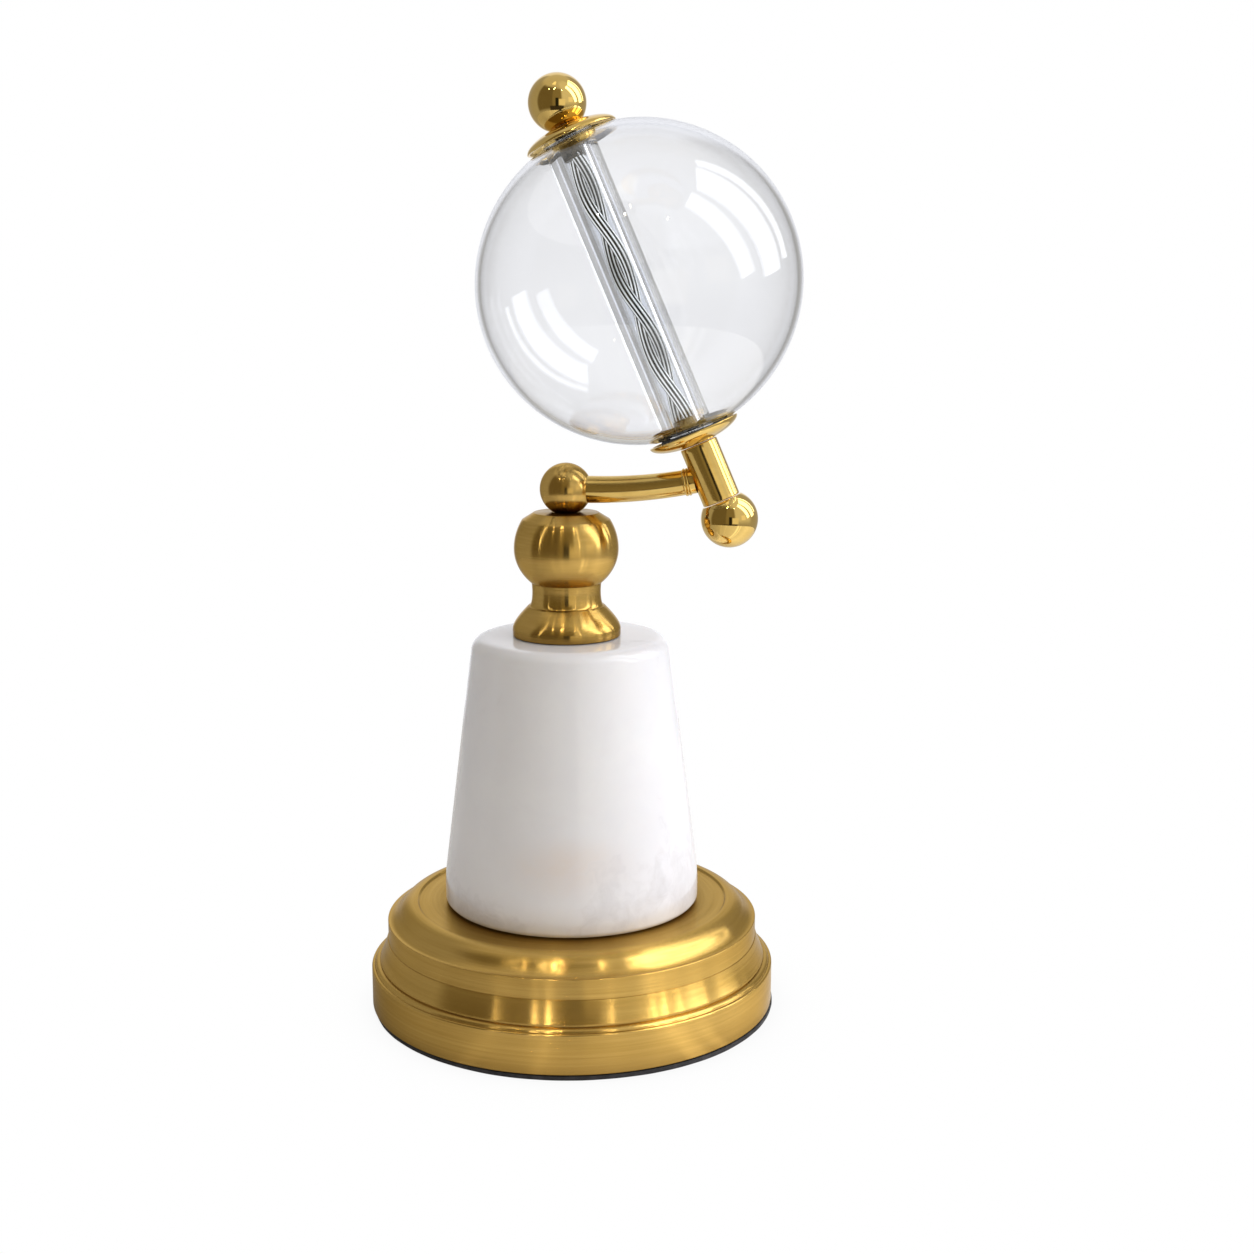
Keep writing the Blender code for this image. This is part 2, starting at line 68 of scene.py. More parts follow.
def rounded(before, corner, after, radius, steps=6):
    """Points of the arc that rounds the corner between two straight lines."""
    before, corner, after = Vector(before), Vector(corner), Vector(after)
    back = (before - corner).normalized()
    on = (after - corner).normalized()
    half = back.angle(on) / 2
    centre = corner + (back + on).normalized() * radius / math.sin(half)
    first = corner + back * radius / math.tan(half) - centre
    last = corner + on * radius / math.tan(half) - centre
    span = first.angle(last)
    points = []
    for t in np.linspace(0, 1, steps + 1):
        blend = first * math.sin((1 - t) * span) + last * math.sin(t * span)
        points.append(tuple(centre + blend / math.sin(span)))
    return points


def new_piece(name, mesh, matrix=None, sharp_deg=32.0):
    """Puts a finished mesh into the scene as one piece with smooth faces and crisp corners.

    Where each point was before the piece was put in place is kept on the mesh as own_place.
    """
    own = np.empty(3 * len(mesh.vertices), dtype=np.float32)
    mesh.vertices.foreach_get("co", own)
    mesh.attributes.new("own_place", "FLOAT_VECTOR", "POINT").data.foreach_set("vector", own)
    if matrix is not None:
        mesh.transform(matrix)
    mesh.shade_smooth()
    mesh.set_sharp_from_angle(angle=math.radians(sharp_deg))
    piece = bpy.data.objects.new(name, mesh)
    bpy.context.scene.collection.objects.link(piece)
    return piece


def turned(name, profile, segments=160, matrix=None, ring=False, wander=None):
    """A turned piece about its own Z. The profile holds (radius, height) pairs in millimetres.

    It runs up the outside. The length along it is kept on the mesh as lathe_run, in metres.
    """
    profile = [(max(r, 0.0) * MM, z * MM) for r, z in profile]
    kept = [profile[0]]
    for point in profile[1:]:
        if math.dist(point, kept[-1]) > 1e-6:
            kept.append(point)
    if ring and math.dist(kept[0], kept[-1]) < 1e-6:
        kept.pop()
    verts, runs, rings, run = [], [], [], 0.0
    turns = np.linspace(0, math.tau, segments, endpoint=False)
    for i, (radius, height) in enumerate(kept):
        if i:
            run += math.dist(kept[i], kept[i - 1])
        if radius < 1e-7:
            rings.append([len(verts)])
            verts.append((0.0, 0.0, height))
            runs.append(run)
            continue
        rings.append(list(range(len(verts), len(verts) + segments)))
        for turn in turns:
            reach = radius + (wander(turn) if wander else 0.0)
            verts.append((reach * math.cos(turn), reach * math.sin(turn), height))
            runs.append(run)
    pairs = list(zip(rings, rings[1:]))
    if ring:
        pairs.append((rings[-1], rings[0]))
    faces = []
    for low, high in pairs:
        for k in range(segments):
            n = (k + 1) % segments
            if len(low) == 1 and len(high) > 1:
                faces.append((low[0], high[n], high[k]))
            elif len(high) == 1 and len(low) > 1:
                faces.append((low[k], low[n], high[0]))
            elif len(low) > 1:
                faces.append((low[k], low[n], high[n], high[k]))
    mesh = bpy.data.meshes.new(name)
    mesh.from_pydata(verts, [], faces)
    mesh.attributes.new("lathe_run", "FLOAT", "POINT").data.foreach_set("value", runs)
    mesh.validate()
    return new_piece(name, mesh, matrix)


def new_material(name, **constants):
    """A material with its Principled shader's plain values set. Returns it, its nodes and the shader."""
    made = bpy.data.materials.new(name)
    made.use_nodes = True
    shader = made.node_tree.nodes["Principled BSDF"]
    for socket, value in constants.items():
        shader.inputs[socket.replace("_", " ")].default_value = value
    return made, made.node_tree, shader


def node(tree, kind, settings=None, **inputs):
    """Adds a node. settings are its own properties, and inputs are values or sockets by name or number."""
    made = tree.nodes.new(kind)
    for key, value in (settings or {}).items():
        setattr(made, key, value)
    for key, value in inputs.items():
        by_number = key[0] == "i" and key[1:].isdigit()
        socket = made.inputs[int(key[1:]) if by_number else key.replace("_", " ")]
        if isinstance(value, bpy.types.NodeSocket):
            tree.links.new(value, socket)
        else:
            socket.default_value = value
    return made


def own_place(tree):
    """Where a point is on its own piece, measured from the piece's axis, in metres."""
    return node(tree, "ShaderNodeAttribute", {"attribute_name": "own_place"}).outputs["Vector"]


def ramp(tree, value, stops, interpolation="LINEAR"):
    """A colour ramp on a value. stops are (position, colour) pairs."""
    made = tree.nodes.new("ShaderNodeValToRGB")
    made.color_ramp.interpolation = interpolation
    elements = made.color_ramp.elements
    while len(elements) < len(stops):
        elements.new(0.5)
    for element, (position, colour) in zip(elements, stops):
        element.position = position
        element.color = (*colour, 1.0) if len(colour) == 3 else colour
    tree.links.new(value, made.inputs["Fac"])
    return made.outputs["Color"]


def dress(piece, made, cad_node):
    """Gives a piece its material, hangs it on the root body and hides the solid it stands for."""
    piece.data.materials.append(made)
    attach(piece, "root")
    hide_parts(cad_node)
    return piece


def pad_wander(turn):
    """How far the hand-cut edge strays from its circle at one angle."""
    waves = math.sin(7 * turn + 0.6) + 0.6 * math.sin(17 * turn) + 0.4 * math.sin(41 * turn)
    return PAD_EDGE_WANDER * MM * waves / 2


pad_rubber, tree, shader = new_material("Black pad rubber", Roughness=0.7, Specular_IOR_Level=0.4)
place = own_place(tree)
grain = node(tree, "ShaderNodeTexNoise", Vector=place, Scale=1400.0, Detail=3.0).outputs["Fac"]
dust = node(tree, "ShaderNodeTexNoise", Vector=place, Scale=260.0, Detail=4.0, Roughness=0.7).outputs["Fac"]
tree.links.new(ramp(tree, dust, [(0.35, (0.012, 0.012, 0.015)), (0.72, (0.045, 0.043, 0.052))]),
               shader.inputs["Base Color"])
pad_bump = node(tree, "ShaderNodeBump", Strength=0.5, Distance=0.0002, Height=grain)
tree.links.new(pad_bump.outputs["Normal"], shader.inputs["Normal"])

pad_profile = [(0, 0), (PAD_RADIUS - 0.4, 0)]
pad_profile += arc((PAD_RADIUS - 0.4, 0.4), (0.4, 0.4), -90, 0, 3)
pad_profile += arc((PAD_RADIUS - 0.3, PAD_TOP - 0.3), (0.3, 0.3), 0, 90, 3)
pad_profile += [(0, PAD_TOP)]
foot_pad = turned("foot_pad_sheet", pad_profile, 320, Matrix.Translation((PAD_SHIFT * MM, 0, 0)),
                  wander=pad_wander)
dress(foot_pad, pad_rubber, "foot_pad")

# Stepped base
# One heavy brass turning in two tiers, brushed on the lathe, so fine lines run round it.
# A bead and a groove part the tiers, and the marble stands on the slightly sunk floor.
BASE_SIDE = 78.1
BASE_GROOVE = (74.9, 19.6)
BASE_BAND = 71.5
BASE_LIP = 60.0
BASE_HEIGHTS = {"bottom": 2.0, "side": 17.4, "band low": 27.6, "band top": 35.3, "top": 42.2, "floor": 41.5}
BRUSHED_LIGHT = (0.66, 0.43, 0.125)
BRUSHED_DARK = (0.48, 0.29, 0.062)
BRASS_EDGE = (0.70, 0.62, 0.48)
BRUSH_RELIEF = 0.00008
# How far round a point the brushed brass looks for cover, for the painted shade in its hollows
HOLLOW_SHADE_REACH = 0.014


def curve(start, control, end, steps):
    """Points on a curve that leaves start towards control and comes in to end from it."""
    points = []
    for t in np.linspace(0, 1, steps + 1):
        weights = ((1 - t) ** 2, 2 * t * (1 - t), t ** 2)
        points.append(tuple(sum(w * p[k] for w, p in zip(weights, (start, control, end))) for k in (0, 1)))
    return points


def new_group(name, inputs, outputs):
    """An empty shader node group with named inputs and outputs."""
    group = bpy.data.node_groups.new(name, "ShaderNodeTree")
    for label, kind, value in inputs:
        socket = group.interface.new_socket(label, in_out="INPUT", socket_type=kind)
        socket.default_value = value
    for label, kind in outputs:
        group.interface.new_socket(label, in_out="OUTPUT", socket_type=kind)
    return group, group.nodes.new("NodeGroupInput").outputs, group.nodes.new("NodeGroupOutput").inputs


COLOUR = "NodeSocketColor"
VALUE = "NodeSocketFloat"

# The lines that a brush or an abrasive cloth leaves round a piece that spins on the lathe
lathe_lines, given, result = new_group(
    "Lathe lines",
    [("Light", COLOUR, (1, 1, 1, 1)), ("Dark", COLOUR, (0, 0, 0, 1)), ("Lines per metre", VALUE, 2400.0),
     ("Length of arcs", VALUE, 2.5), ("Depth", VALUE, 0.5), ("Roughness low", VALUE, 0.2),
     ("Roughness high", VALUE, 0.35)],
    [("Colour", COLOUR), ("Roughness", VALUE), ("Height", VALUE)])
place = own_place(lathe_lines)
flat_place = node(lathe_lines, "ShaderNodeVectorMath", {"operation": "MULTIPLY"}, i0=place, i1=(1, 1, 0))
around = node(lathe_lines, "ShaderNodeVectorMath", {"operation": "NORMALIZE"}, i0=flat_place.outputs[0])
run = node(lathe_lines, "ShaderNodeAttribute", {"attribute_name": "lathe_run"}).outputs["Fac"]
parts = node(lathe_lines, "ShaderNodeSeparateXYZ", Vector=around.outputs[0])
fields = {}
for label, share, stretch in (("fine", 1.0, 1.0), ("broad", 0.17, 0.45), ("cloud", 0.02, 0.8)):
    arcs = node(lathe_lines, "ShaderNodeMath", {"operation": "MULTIPLY"}, i0=given["Length of arcs"], i1=stretch)
    xs = node(lathe_lines, "ShaderNodeMath", {"operation": "MULTIPLY"}, i0=parts.outputs["X"], i1=arcs.outputs[0])
    ys = node(lathe_lines, "ShaderNodeMath", {"operation": "MULTIPLY"}, i0=parts.outputs["Y"], i1=arcs.outputs[0])
    lines = node(lathe_lines, "ShaderNodeMath", {"operation": "MULTIPLY"}, i0=given["Lines per metre"], i1=share)
    rows = node(lathe_lines, "ShaderNodeMath", {"operation": "MULTIPLY"}, i0=run, i1=lines.outputs[0])
    grid = node(lathe_lines, "ShaderNodeCombineXYZ", X=xs.outputs[0], Y=ys.outputs[0], Z=rows.outputs[0])
    fields[label] = node(lathe_lines, "ShaderNodeTexNoise", Vector=grid.outputs[0], Scale=1.0, Detail=2.0,
                         Roughness=0.6).outputs["Fac"]
both = node(lathe_lines, "ShaderNodeMix", Factor=0.45, i2=fields["fine"], i3=fields["broad"]).outputs[0]
all_three = node(lathe_lines, "ShaderNodeMix", Factor=0.3, i2=both, i3=fields["cloud"]).outputs[0]
spread = node(lathe_lines, "ShaderNodeMapRange", Value=all_three, i1=0.34, i2=0.66, i3=0.0, i4=1.0)
toned = node(lathe_lines, "ShaderNodeMath", {"operation": "MULTIPLY"}, i0=spread.outputs[0], i1=given["Depth"])
colour_mix = node(lathe_lines, "ShaderNodeMix", {"data_type": "RGBA"}, i0=toned.outputs[0], i6=given["Light"],
                  i7=given["Dark"])
rough_mix = node(lathe_lines, "ShaderNodeMapRange", Value=spread.outputs[0], i3=given["Roughness low"],
                 i4=given["Roughness high"])
lathe_lines.links.new(colour_mix.outputs[2], result["Colour"])
lathe_lines.links.new(rough_mix.outputs[0], result["Roughness"])
lathe_lines.links.new(both, result["Height"])


def brushed_brass(name, lines_per_metre, arcs, depth, roughness, anisotropic, bump):
    """Brass brushed round its axis, which draws a lamp's reflection out across the lines.

    Hollows are darkened with painted shade, deeper where a point is more enclosed.
    """
    made, tree, shader = new_material(name, Metallic=1.0, Anisotropic=anisotropic, Anisotropic_Rotation=0.25,
                                      Coat_Weight=0.12, Coat_Roughness=0.18)
    shader.inputs["Specular Tint"].default_value = (*BRASS_EDGE, 1)
    lines = node(tree, "ShaderNodeGroup", {"node_tree": lathe_lines}, Light=(*BRUSHED_LIGHT, 1),
                 Dark=(*BRUSHED_DARK, 1), Lines_per_metre=lines_per_metre, Length_of_arcs=arcs, Depth=depth,
                 Roughness_low=roughness[0], Roughness_high=roughness[1])
    # Painted shade: the colour darkens where a point is enclosed, in hollows, grooves and under ledges.
    sheltered = node(tree, "ShaderNodeAmbientOcclusion", {"samples": 6}, Distance=HOLLOW_SHADE_REACH)
    painted_hollow_shade = ramp(tree, sheltered.outputs["AO"], [(0.35, (0.46, 0.42, 0.34)), (0.88, (1.0, 1.0, 1.0))])
    hollow_shaded_colour = node(tree, "ShaderNodeMix", {"data_type": "RGBA", "blend_type": "MULTIPLY"}, i0=1.0,
                i6=lines.outputs["Colour"], i7=painted_hollow_shade)
    tree.links.new(hollow_shaded_colour.outputs[2], shader.inputs["Base Color"])
    tree.links.new(lines.outputs["Roughness"], shader.inputs["Roughness"])
    bumped = node(tree, "ShaderNodeBump", Strength=bump, Distance=BRUSH_RELIEF, Height=lines.outputs["Height"])
    tree.links.new(bumped.outputs["Normal"], shader.inputs["Normal"])
    across = node(tree, "ShaderNodeTangent", {"direction_type": "RADIAL", "axis": "Z"})
    tree.links.new(across.outputs["Tangent"], shader.inputs["Tangent"])
    return made


base_brass = brushed_brass("Base brushed brass", 1050.0, 1.3, 0.85, (0.20, 0.25), 1.0, 0.6)

h = BASE_HEIGHTS
base_profile = [(0, h["bottom"])] + rounded((0, h["bottom"]), (BASE_SIDE, h["bottom"]), (BASE_SIDE, 9), 0.5)
base_profile += rounded((BASE_SIDE, 9), (BASE_SIDE, h["side"]), (70, h["side"]), 0.7)
base_profile += rounded((78, h["side"]), (76.95, h["side"]), (76.9, 19), 0.12, 3)
base_profile += arc((75.2, h["side"]), (1.7, 1.4), 8, 90, 10)
base_profile += straight((74.9, 18.85), BASE_GROOVE, 2)
base_profile += curve(BASE_GROOVE, (73.03, 23.44), (71.8, h["band low"]), 20)[1:]
base_profile += [(BASE_BAND + 0.05, h["band low"] + 0.1), (BASE_BAND, h["band low"] + 0.3)]
base_profile += rounded((BASE_BAND, 30), (BASE_BAND, h["band top"]), (70.2, h["band top"] + 0.1), 0.25, 4)
CROWN_CENTRE, CROWN_RADII = (60.23, 33.23), (8.05, 8.97)
crown = arc(CROWN_CENTRE, CROWN_RADII, 38, 88, 22)
base_profile += curve((71.2, h["band top"]), (68.9, 35.44), crown[0], 12)[1:]
base_profile += crown[1:]
base_profile += rounded((60.9, h["top"]), (BASE_LIP, h["top"]), (59.3, h["floor"]), 0.18, 4)
base_profile += [(59.3, h["floor"])] + straight((59.1, h["floor"]), (0, h["floor"]), 12)
stepped_base = turned("stepped_base_turning", base_profile, 256)
dress(stepped_base, base_brass, "stepped_base")

# Marble cone
# A block of white marble, turned to a cone with a short upright foot and polished.
# It has faint grey clouds and a few peach veins, low on its front.
MARBLE_FOOT, MARBLE_HEAD = 48.95, 37.1
MARBLE_BOTTOM, MARBLE_UPRIGHT, MARBLE_TOP = 41.8, 10.5, 145.5
PEACH_PATCH = (0.007, -0.0465, 0.068)

marble, tree, shader = new_material("Polished white marble", Roughness=0.14, Specular_IOR_Level=0.5,
                                    Subsurface_Weight=0.12, Subsurface_Scale=0.01)
shader.inputs["Subsurface Radius"].default_value = (1.0, 0.8, 0.7)
place = own_place(tree)
warp = node(tree, "ShaderNodeTexNoise", Vector=place, Scale=22.0, Detail=4.0, Roughness=0.6)
warped = node(tree, "ShaderNodeVectorMath", {"operation": "MULTIPLY_ADD"}, i0=warp.outputs["Color"],
              i1=(0.05, 0.05, 0.07), i2=place)
clouds = node(tree, "ShaderNodeTexNoise", Vector=warped.outputs[0], Scale=18.0, Detail=6.0, Roughness=0.62)
veins = node(tree, "ShaderNodeTexNoise", {"noise_type": "RIDGED_MULTIFRACTAL"}, Vector=warped.outputs[0], Scale=13.0,
             Detail=4.0, Roughness=0.5)
height = node(tree, "ShaderNodeSeparateXYZ", Vector=place)
low_down = node(tree, "ShaderNodeMapRange", Value=height.outputs["Z"], i1=0.045, i2=0.105, i3=1.0, i4=0.12)
cloud_colour = ramp(tree, clouds.outputs["Fac"], [(0.28, (0.64, 0.63, 0.69)), (0.46, (0.865, 0.865, 0.945)),
                                                  (0.70, (0.905, 0.91, 0.98))])
vein_mask = node(tree, "ShaderNodeMapRange", {"interpolation_type": "SMOOTHSTEP"}, Value=veins.outputs["Fac"],
                 i1=1.0, i2=1.9, i3=0.0, i4=0.5)
vein_low = node(tree, "ShaderNodeMath", {"operation": "MULTIPLY"}, i0=vein_mask.outputs[0], i1=low_down.outputs[0])
off_patch = node(tree, "ShaderNodeVectorMath", {"operation": "SUBTRACT"}, i0=place, i1=PEACH_PATCH)
patch_shape = node(tree, "ShaderNodeVectorMath", {"operation": "MULTIPLY"}, i0=off_patch.outputs[0], i1=(42, 30, 90))
patch_reach = node(tree, "ShaderNodeVectorMath", {"operation": "LENGTH"}, i0=patch_shape.outputs[0])
patch = node(tree, "ShaderNodeMapRange", {"interpolation_type": "SMOOTHSTEP"}, Value=patch_reach.outputs["Value"],
             i1=0.1, i2=1.3, i3=0.42, i4=0.0)
patchy = node(tree, "ShaderNodeMapRange", Value=clouds.outputs["Fac"], i1=0.38, i2=0.58, i3=0.25, i4=1.0)
peach = node(tree, "ShaderNodeMath", {"operation": "MULTIPLY"}, i0=patch.outputs[0], i1=patchy.outputs[0])
warm_stone = node(tree, "ShaderNodeMath", {"operation": "MAXIMUM"}, i0=vein_low.outputs[0], i1=peach.outputs[0])
stone = node(tree, "ShaderNodeMix", {"data_type": "RGBA"}, i0=warm_stone.outputs[0], i6=cloud_colour,
             i7=(0.82, 0.66, 0.56, 1))
tree.links.new(stone.outputs[2], shader.inputs["Base Color"])
polish = node(tree, "ShaderNodeTexNoise", Vector=place, Scale=60.0, Detail=3.0)
gloss = node(tree, "ShaderNodeMapRange", Value=polish.outputs["Fac"], i1=0.3, i2=0.7, i3=0.06, i4=0.10)
tree.links.new(gloss.outputs[0], shader.inputs["Roughness"])

shoulder = (MARBLE_FOOT, MARBLE_BOTTOM + MARBLE_UPRIGHT)
corners = [(0, MARBLE_BOTTOM), (MARBLE_FOOT, MARBLE_BOTTOM), shoulder, (MARBLE_HEAD, MARBLE_TOP), (0, MARBLE_TOP)]
marble_profile = [corners[0]]
for i, (radius, steps) in enumerate(((2.2, 10), (60.0, 8), (5.5, 14))):
    marble_profile += rounded(*corners[i:i + 3], radius, steps)
marble_profile += straight((30, MARBLE_TOP), (0, MARBLE_TOP), 6)
marble_cone = turned("marble_cone_block", marble_profile, 192)
dress(marble_cone, marble, "marble_cone")

# Turned neck
# One brass turning, brushed like the base: a foot flange, a collar, a waist, a bulb and a
# chamfered top with a round seat. It stands a little to the side of the marble's middle.
NECK_SHIFT = -1.4
NECK_BOTTOM, NECK_FLANGE = 145.8, 20.5
NECK_WAIST, WAIST_TOP, WAIST_HEIGHT = 13.0, 13.17, 165.8
BULB_RADIUS, BULB_HEIGHT, BULB_TOP = 19.8, 178.8, 189.8
LOW_TURN, HIGH_TURN = 44.0, math.degrees(math.acos(0.84))
SEAT_RADIUS, SEAT_HEIGHT, SEAT_RIM = 10.15, 201.3, 193.2
neck_brass = brushed_brass("Neck brushed brass", 1400.0, 1.3, 0.75, (0.15, 0.19), 1.0, 0.5)

neck_profile = [(0, NECK_BOTTOM)]
neck_profile += rounded((0, NECK_BOTTOM), (NECK_FLANGE, NECK_BOTTOM), (NECK_FLANGE, 148), 0.3, 4)
neck_profile += curve((NECK_FLANGE, 148.9), (19.9, 151.7), (14.8, 156.8), 20)
neck_profile += [(14.55, 156.85)]
neck_profile += curve((14.5, 157.1), (NECK_WAIST, 157.1), (NECK_WAIST, 163.0), 14)
neck_profile += straight((NECK_WAIST, 163.0), (WAIST_TOP, WAIST_HEIGHT), 4)[1:]
low_radius = (BULB_RADIUS - WAIST_TOP) / (1 - math.cos(math.radians(LOW_TURN)))
low_height = (BULB_HEIGHT - WAIST_HEIGHT) / math.sin(math.radians(LOW_TURN))
neck_profile += arc((BULB_RADIUS - low_radius, BULB_HEIGHT), (low_radius, low_height), -LOW_TURN, 0, 24)[1:]
high_height = (BULB_TOP - BULB_HEIGHT) / math.sin(math.radians(HIGH_TURN))
neck_profile += arc((0, BULB_HEIGHT), (BULB_RADIUS, high_height), 0, HIGH_TURN, 16)[1:]
neck_profile += rounded((16.8, 189.2), (16.5, 189.95), (12.5, 192.4), 0.25, 4)
neck_profile += rounded((14, 191.3), (12.3, 192.55), (11.5, 192.6), 0.25, 4)
seat_turn = math.degrees(math.asin((SEAT_RIM - SEAT_HEIGHT) / SEAT_RADIUS))
neck_profile += arc((0, SEAT_HEIGHT), (SEAT_RADIUS, SEAT_RADIUS), seat_turn - 4, -90, 10)
turned_neck = turned("turned_neck_piece", neck_profile, 192, Matrix.Translation((NECK_SHIFT * MM, 0, 0)))
dress(turned_neck, neck_brass, "turned_neck")

# Arm ball
# A small brass ball with a satin finish, sunk into the neck's seat. The arm is soldered in it.
ARM_BALL_CENTRE = Vector((NECK_SHIFT, 0, SEAT_HEIGHT)) * MM
ARM_BALL_RADIUS = 9.85
ball_brass = brushed_brass("Arm ball satin brass", 5200.0, 3.0, 0.35, (0.15, 0.22), 0.5, 0.2)
arm_ball = turned("arm_ball_piece", arc((0, 0), (ARM_BALL_RADIUS, ARM_BALL_RADIUS), -90, 90, 64), 128,
                  Matrix.Translation(ARM_BALL_CENTRE))
dress(arm_ball, ball_brass, "arm_ball")

# Curved arm
# A polished brass rod that leaves the ball level, bends up gently, and meets the sleeve on
# the tilted axis in a fine double bead of solder.
ARM_STRAIGHT, ARM_BEND, ARM_REACH = 9.5, 195.0, 55.0
ARM_ROOT, ARM_TIP, ARM_BEAD = 5.1, 4.7, 5.2
BEAD_PROFILE = ((2.45, 4.72), (2.3, 4.98), (2.05, 5.16), (1.8, ARM_BEAD), (1.55, 5.14), (1.35, 4.96), (1.25, 4.8),
                (1.15, 4.96), (0.95, 5.14), (0.7, ARM_BEAD), (0.45, 5.14), (0.25, 4.95), (0.1, 4.72), (0.0, ARM_TIP))
ARM_SIDES = 64
POLISHED_LIGHT = (0.80, 0.565, 0.185)
POLISHED_WARM = (0.73, 0.49, 0.145)

# The faint clouds that handling leaves on polished metal
handling, given, result = new_group(
    "Handling marks",
    [("Clean", COLOUR, (1, 1, 1, 1)), ("Dulled", COLOUR, (0, 0, 0, 1)), ("Scale", VALUE, 60.0),
     ("Roughness clean", VALUE, 0.05), ("Roughness dulled", VALUE, 0.12)],
    [("Colour", COLOUR), ("Roughness", VALUE), ("Height", VALUE)])
place = own_place(handling)
smear = node(handling, "ShaderNodeTexNoise", Vector=place, Scale=given["Scale"], Detail=5.0, Roughness=0.65,
             Distortion=0.6)
specks = node(handling, "ShaderNodeTexNoise", Vector=place, Scale=900.0, Detail=2.0)
marked = node(handling, "ShaderNodeMapRange", Value=smear.outputs["Fac"], i1=0.40, i2=0.72)
tint = node(handling, "ShaderNodeMix", {"data_type": "RGBA"}, i0=marked.outputs[0], i6=given["Clean"],
            i7=given["Dulled"])
dull = node(handling, "ShaderNodeMapRange", Value=marked.outputs[0], i3=given["Roughness clean"],
            i4=given["Roughness dulled"])
handling.links.new(tint.outputs[2], result["Colour"])
handling.links.new(dull.outputs[0], result["Roughness"])
handling.links.new(specks.outputs["Fac"], result["Height"])


def polished_brass(name, clean, dulled, bump=0.05):
    """Brass polished bright, with a little unevenness from handling."""
    made, tree, shader = new_material(name, Metallic=1.0)
    marks = node(tree, "ShaderNodeGroup", {"node_tree": handling}, Clean=(*POLISHED_LIGHT, 1),
                 Dulled=(*POLISHED_WARM, 1), Scale=90.0, Roughness_clean=clean, Roughness_dulled=dulled)
    tree.links.new(marks.outputs["Colour"], shader.inputs["Base Color"])
    tree.links.new(marks.outputs["Roughness"], shader.inputs["Roughness"])
    bumped = node(tree, "ShaderNodeBump", Strength=bump, Distance=0.00002, Height=marks.outputs["Height"])
    tree.links.new(bumped.outputs["Normal"], shader.inputs["Normal"])
    return made


AXIS_TILT = math.radians(23.1)
AXIS_ORIGIN = Vector((24.01, 0, 276.05)) * MM
axis = Matrix.Translation(AXIS_ORIGIN) @ Matrix.Rotation(-AXIS_TILT, 4, "Y")
SLEEVE_RADIUS = 7.15

arm_bend_turn = math.asin((ARM_REACH - ARM_STRAIGHT) / ARM_BEND)
arc_length = ARM_BEND * arm_bend_turn
bead_end = SLEEVE_RADIUS + 1.1
stations = [(a, ARM_ROOT) for a in np.linspace(4.0, ARM_STRAIGHT, 6)]
plain = arc_length - bead_end - 2.6
stations += [(ARM_STRAIGHT + plain * t, ARM_ROOT + (ARM_TIP - ARM_ROOT) * t) for t in np.linspace(0.04, 1, 30)]
for back, radius in BEAD_PROFILE:
    stations.append((ARM_STRAIGHT + arc_length - bead_end - back, radius))
stations.append((ARM_STRAIGHT + arc_length - SLEEVE_RADIUS + 0.8, ARM_TIP))
arm_verts, arm_rings = [], []
for along, radius in ((float(a), float(r)) for a, r in stations):
    turn = max(0.0, along - ARM_STRAIGHT) / ARM_BEND
    forward = min(along, ARM_STRAIGHT) + ARM_BEND * math.sin(turn)
    middle = Vector((forward, 0, ARM_BEND * (1 - math.cos(turn))))
    up = Vector((-math.sin(turn), 0, math.cos(turn)))
    arm_rings.append(list(range(len(arm_verts), len(arm_verts) + ARM_SIDES)))
    for t in np.linspace(0, math.tau, ARM_SIDES, endpoint=False):
        point = middle + radius * (up * math.cos(t) + Vector((0, math.sin(t), 0)))
        arm_verts.append(ARM_BALL_CENTRE + point * MM)
faces = []
for low, high in zip(arm_rings, arm_rings[1:]):
    for k in range(ARM_SIDES):
        n = (k + 1) % ARM_SIDES
        faces.append((low[k], low[n], high[n], high[k]))
mesh = bpy.data.meshes.new("curved_arm_rod")
mesh.from_pydata(arm_verts, [], faces + [tuple(arm_rings[0])[::-1], tuple(arm_rings[-1])])
curved_arm = new_piece("curved_arm_rod", mesh)
arm_brass = polished_brass("Arm polished brass", 0.10, 0.20)
dress(curved_arm, arm_brass, "curved_arm")

# Tilt sleeve
# A short polished brass bar on the tilted axis. The dish is screwed to its top and the lower
# ball to its bottom, and a fine dark seam shows at both joints.
SLEEVE_TOP, SLEEVE_BOTTOM = -62.11, -84.51
sleeve_brass = polished_brass("Sleeve polished brass", 0.08, 0.16)
sleeve_profile = [(0, SLEEVE_BOTTOM)]
sleeve_profile += rounded((0, SLEEVE_BOTTOM), (SLEEVE_RADIUS, SLEEVE_BOTTOM), (SLEEVE_RADIUS, -70), 0.4, 5)
sleeve_profile += straight((SLEEVE_RADIUS, -83), (SLEEVE_RADIUS, -64), 12)
sleeve_profile += rounded((SLEEVE_RADIUS, -70), (SLEEVE_RADIUS, SLEEVE_TOP), (0, SLEEVE_TOP), 0.4, 5)
sleeve_profile += [(0, SLEEVE_TOP)]
tilt_sleeve = turned("tilt_sleeve_bar", sleeve_profile, 128, axis)
dress(tilt_sleeve, sleeve_brass, "tilt_sleeve")

# Lower and top ball
# Two brass balls, polished like mirrors, that close the axis. Each is faced off where it sits.
BALL_RADIUS = 10.65
ball_mirror = polished_brass("Mirror polished brass", 0.035, 0.08, 0.03)
for ball_name, centre, flat, side in (("lower_ball", -92.17, 7.7, 1), ("top_ball", 70.62, 6.4, -1)):
    start = -math.degrees(math.acos(flat / BALL_RADIUS))
    outline = [(0, BALL_RADIUS * math.sin(math.radians(start)))]
    outline += arc((0, 0), (BALL_RADIUS, BALL_RADIUS), start, 90, 72)
    outline = [(r, centre - side * z) for r, z in outline]
    piece = turned(f"{ball_name}_knob", outline, 128, axis)
    dress(piece, ball_mirror, ball_name)

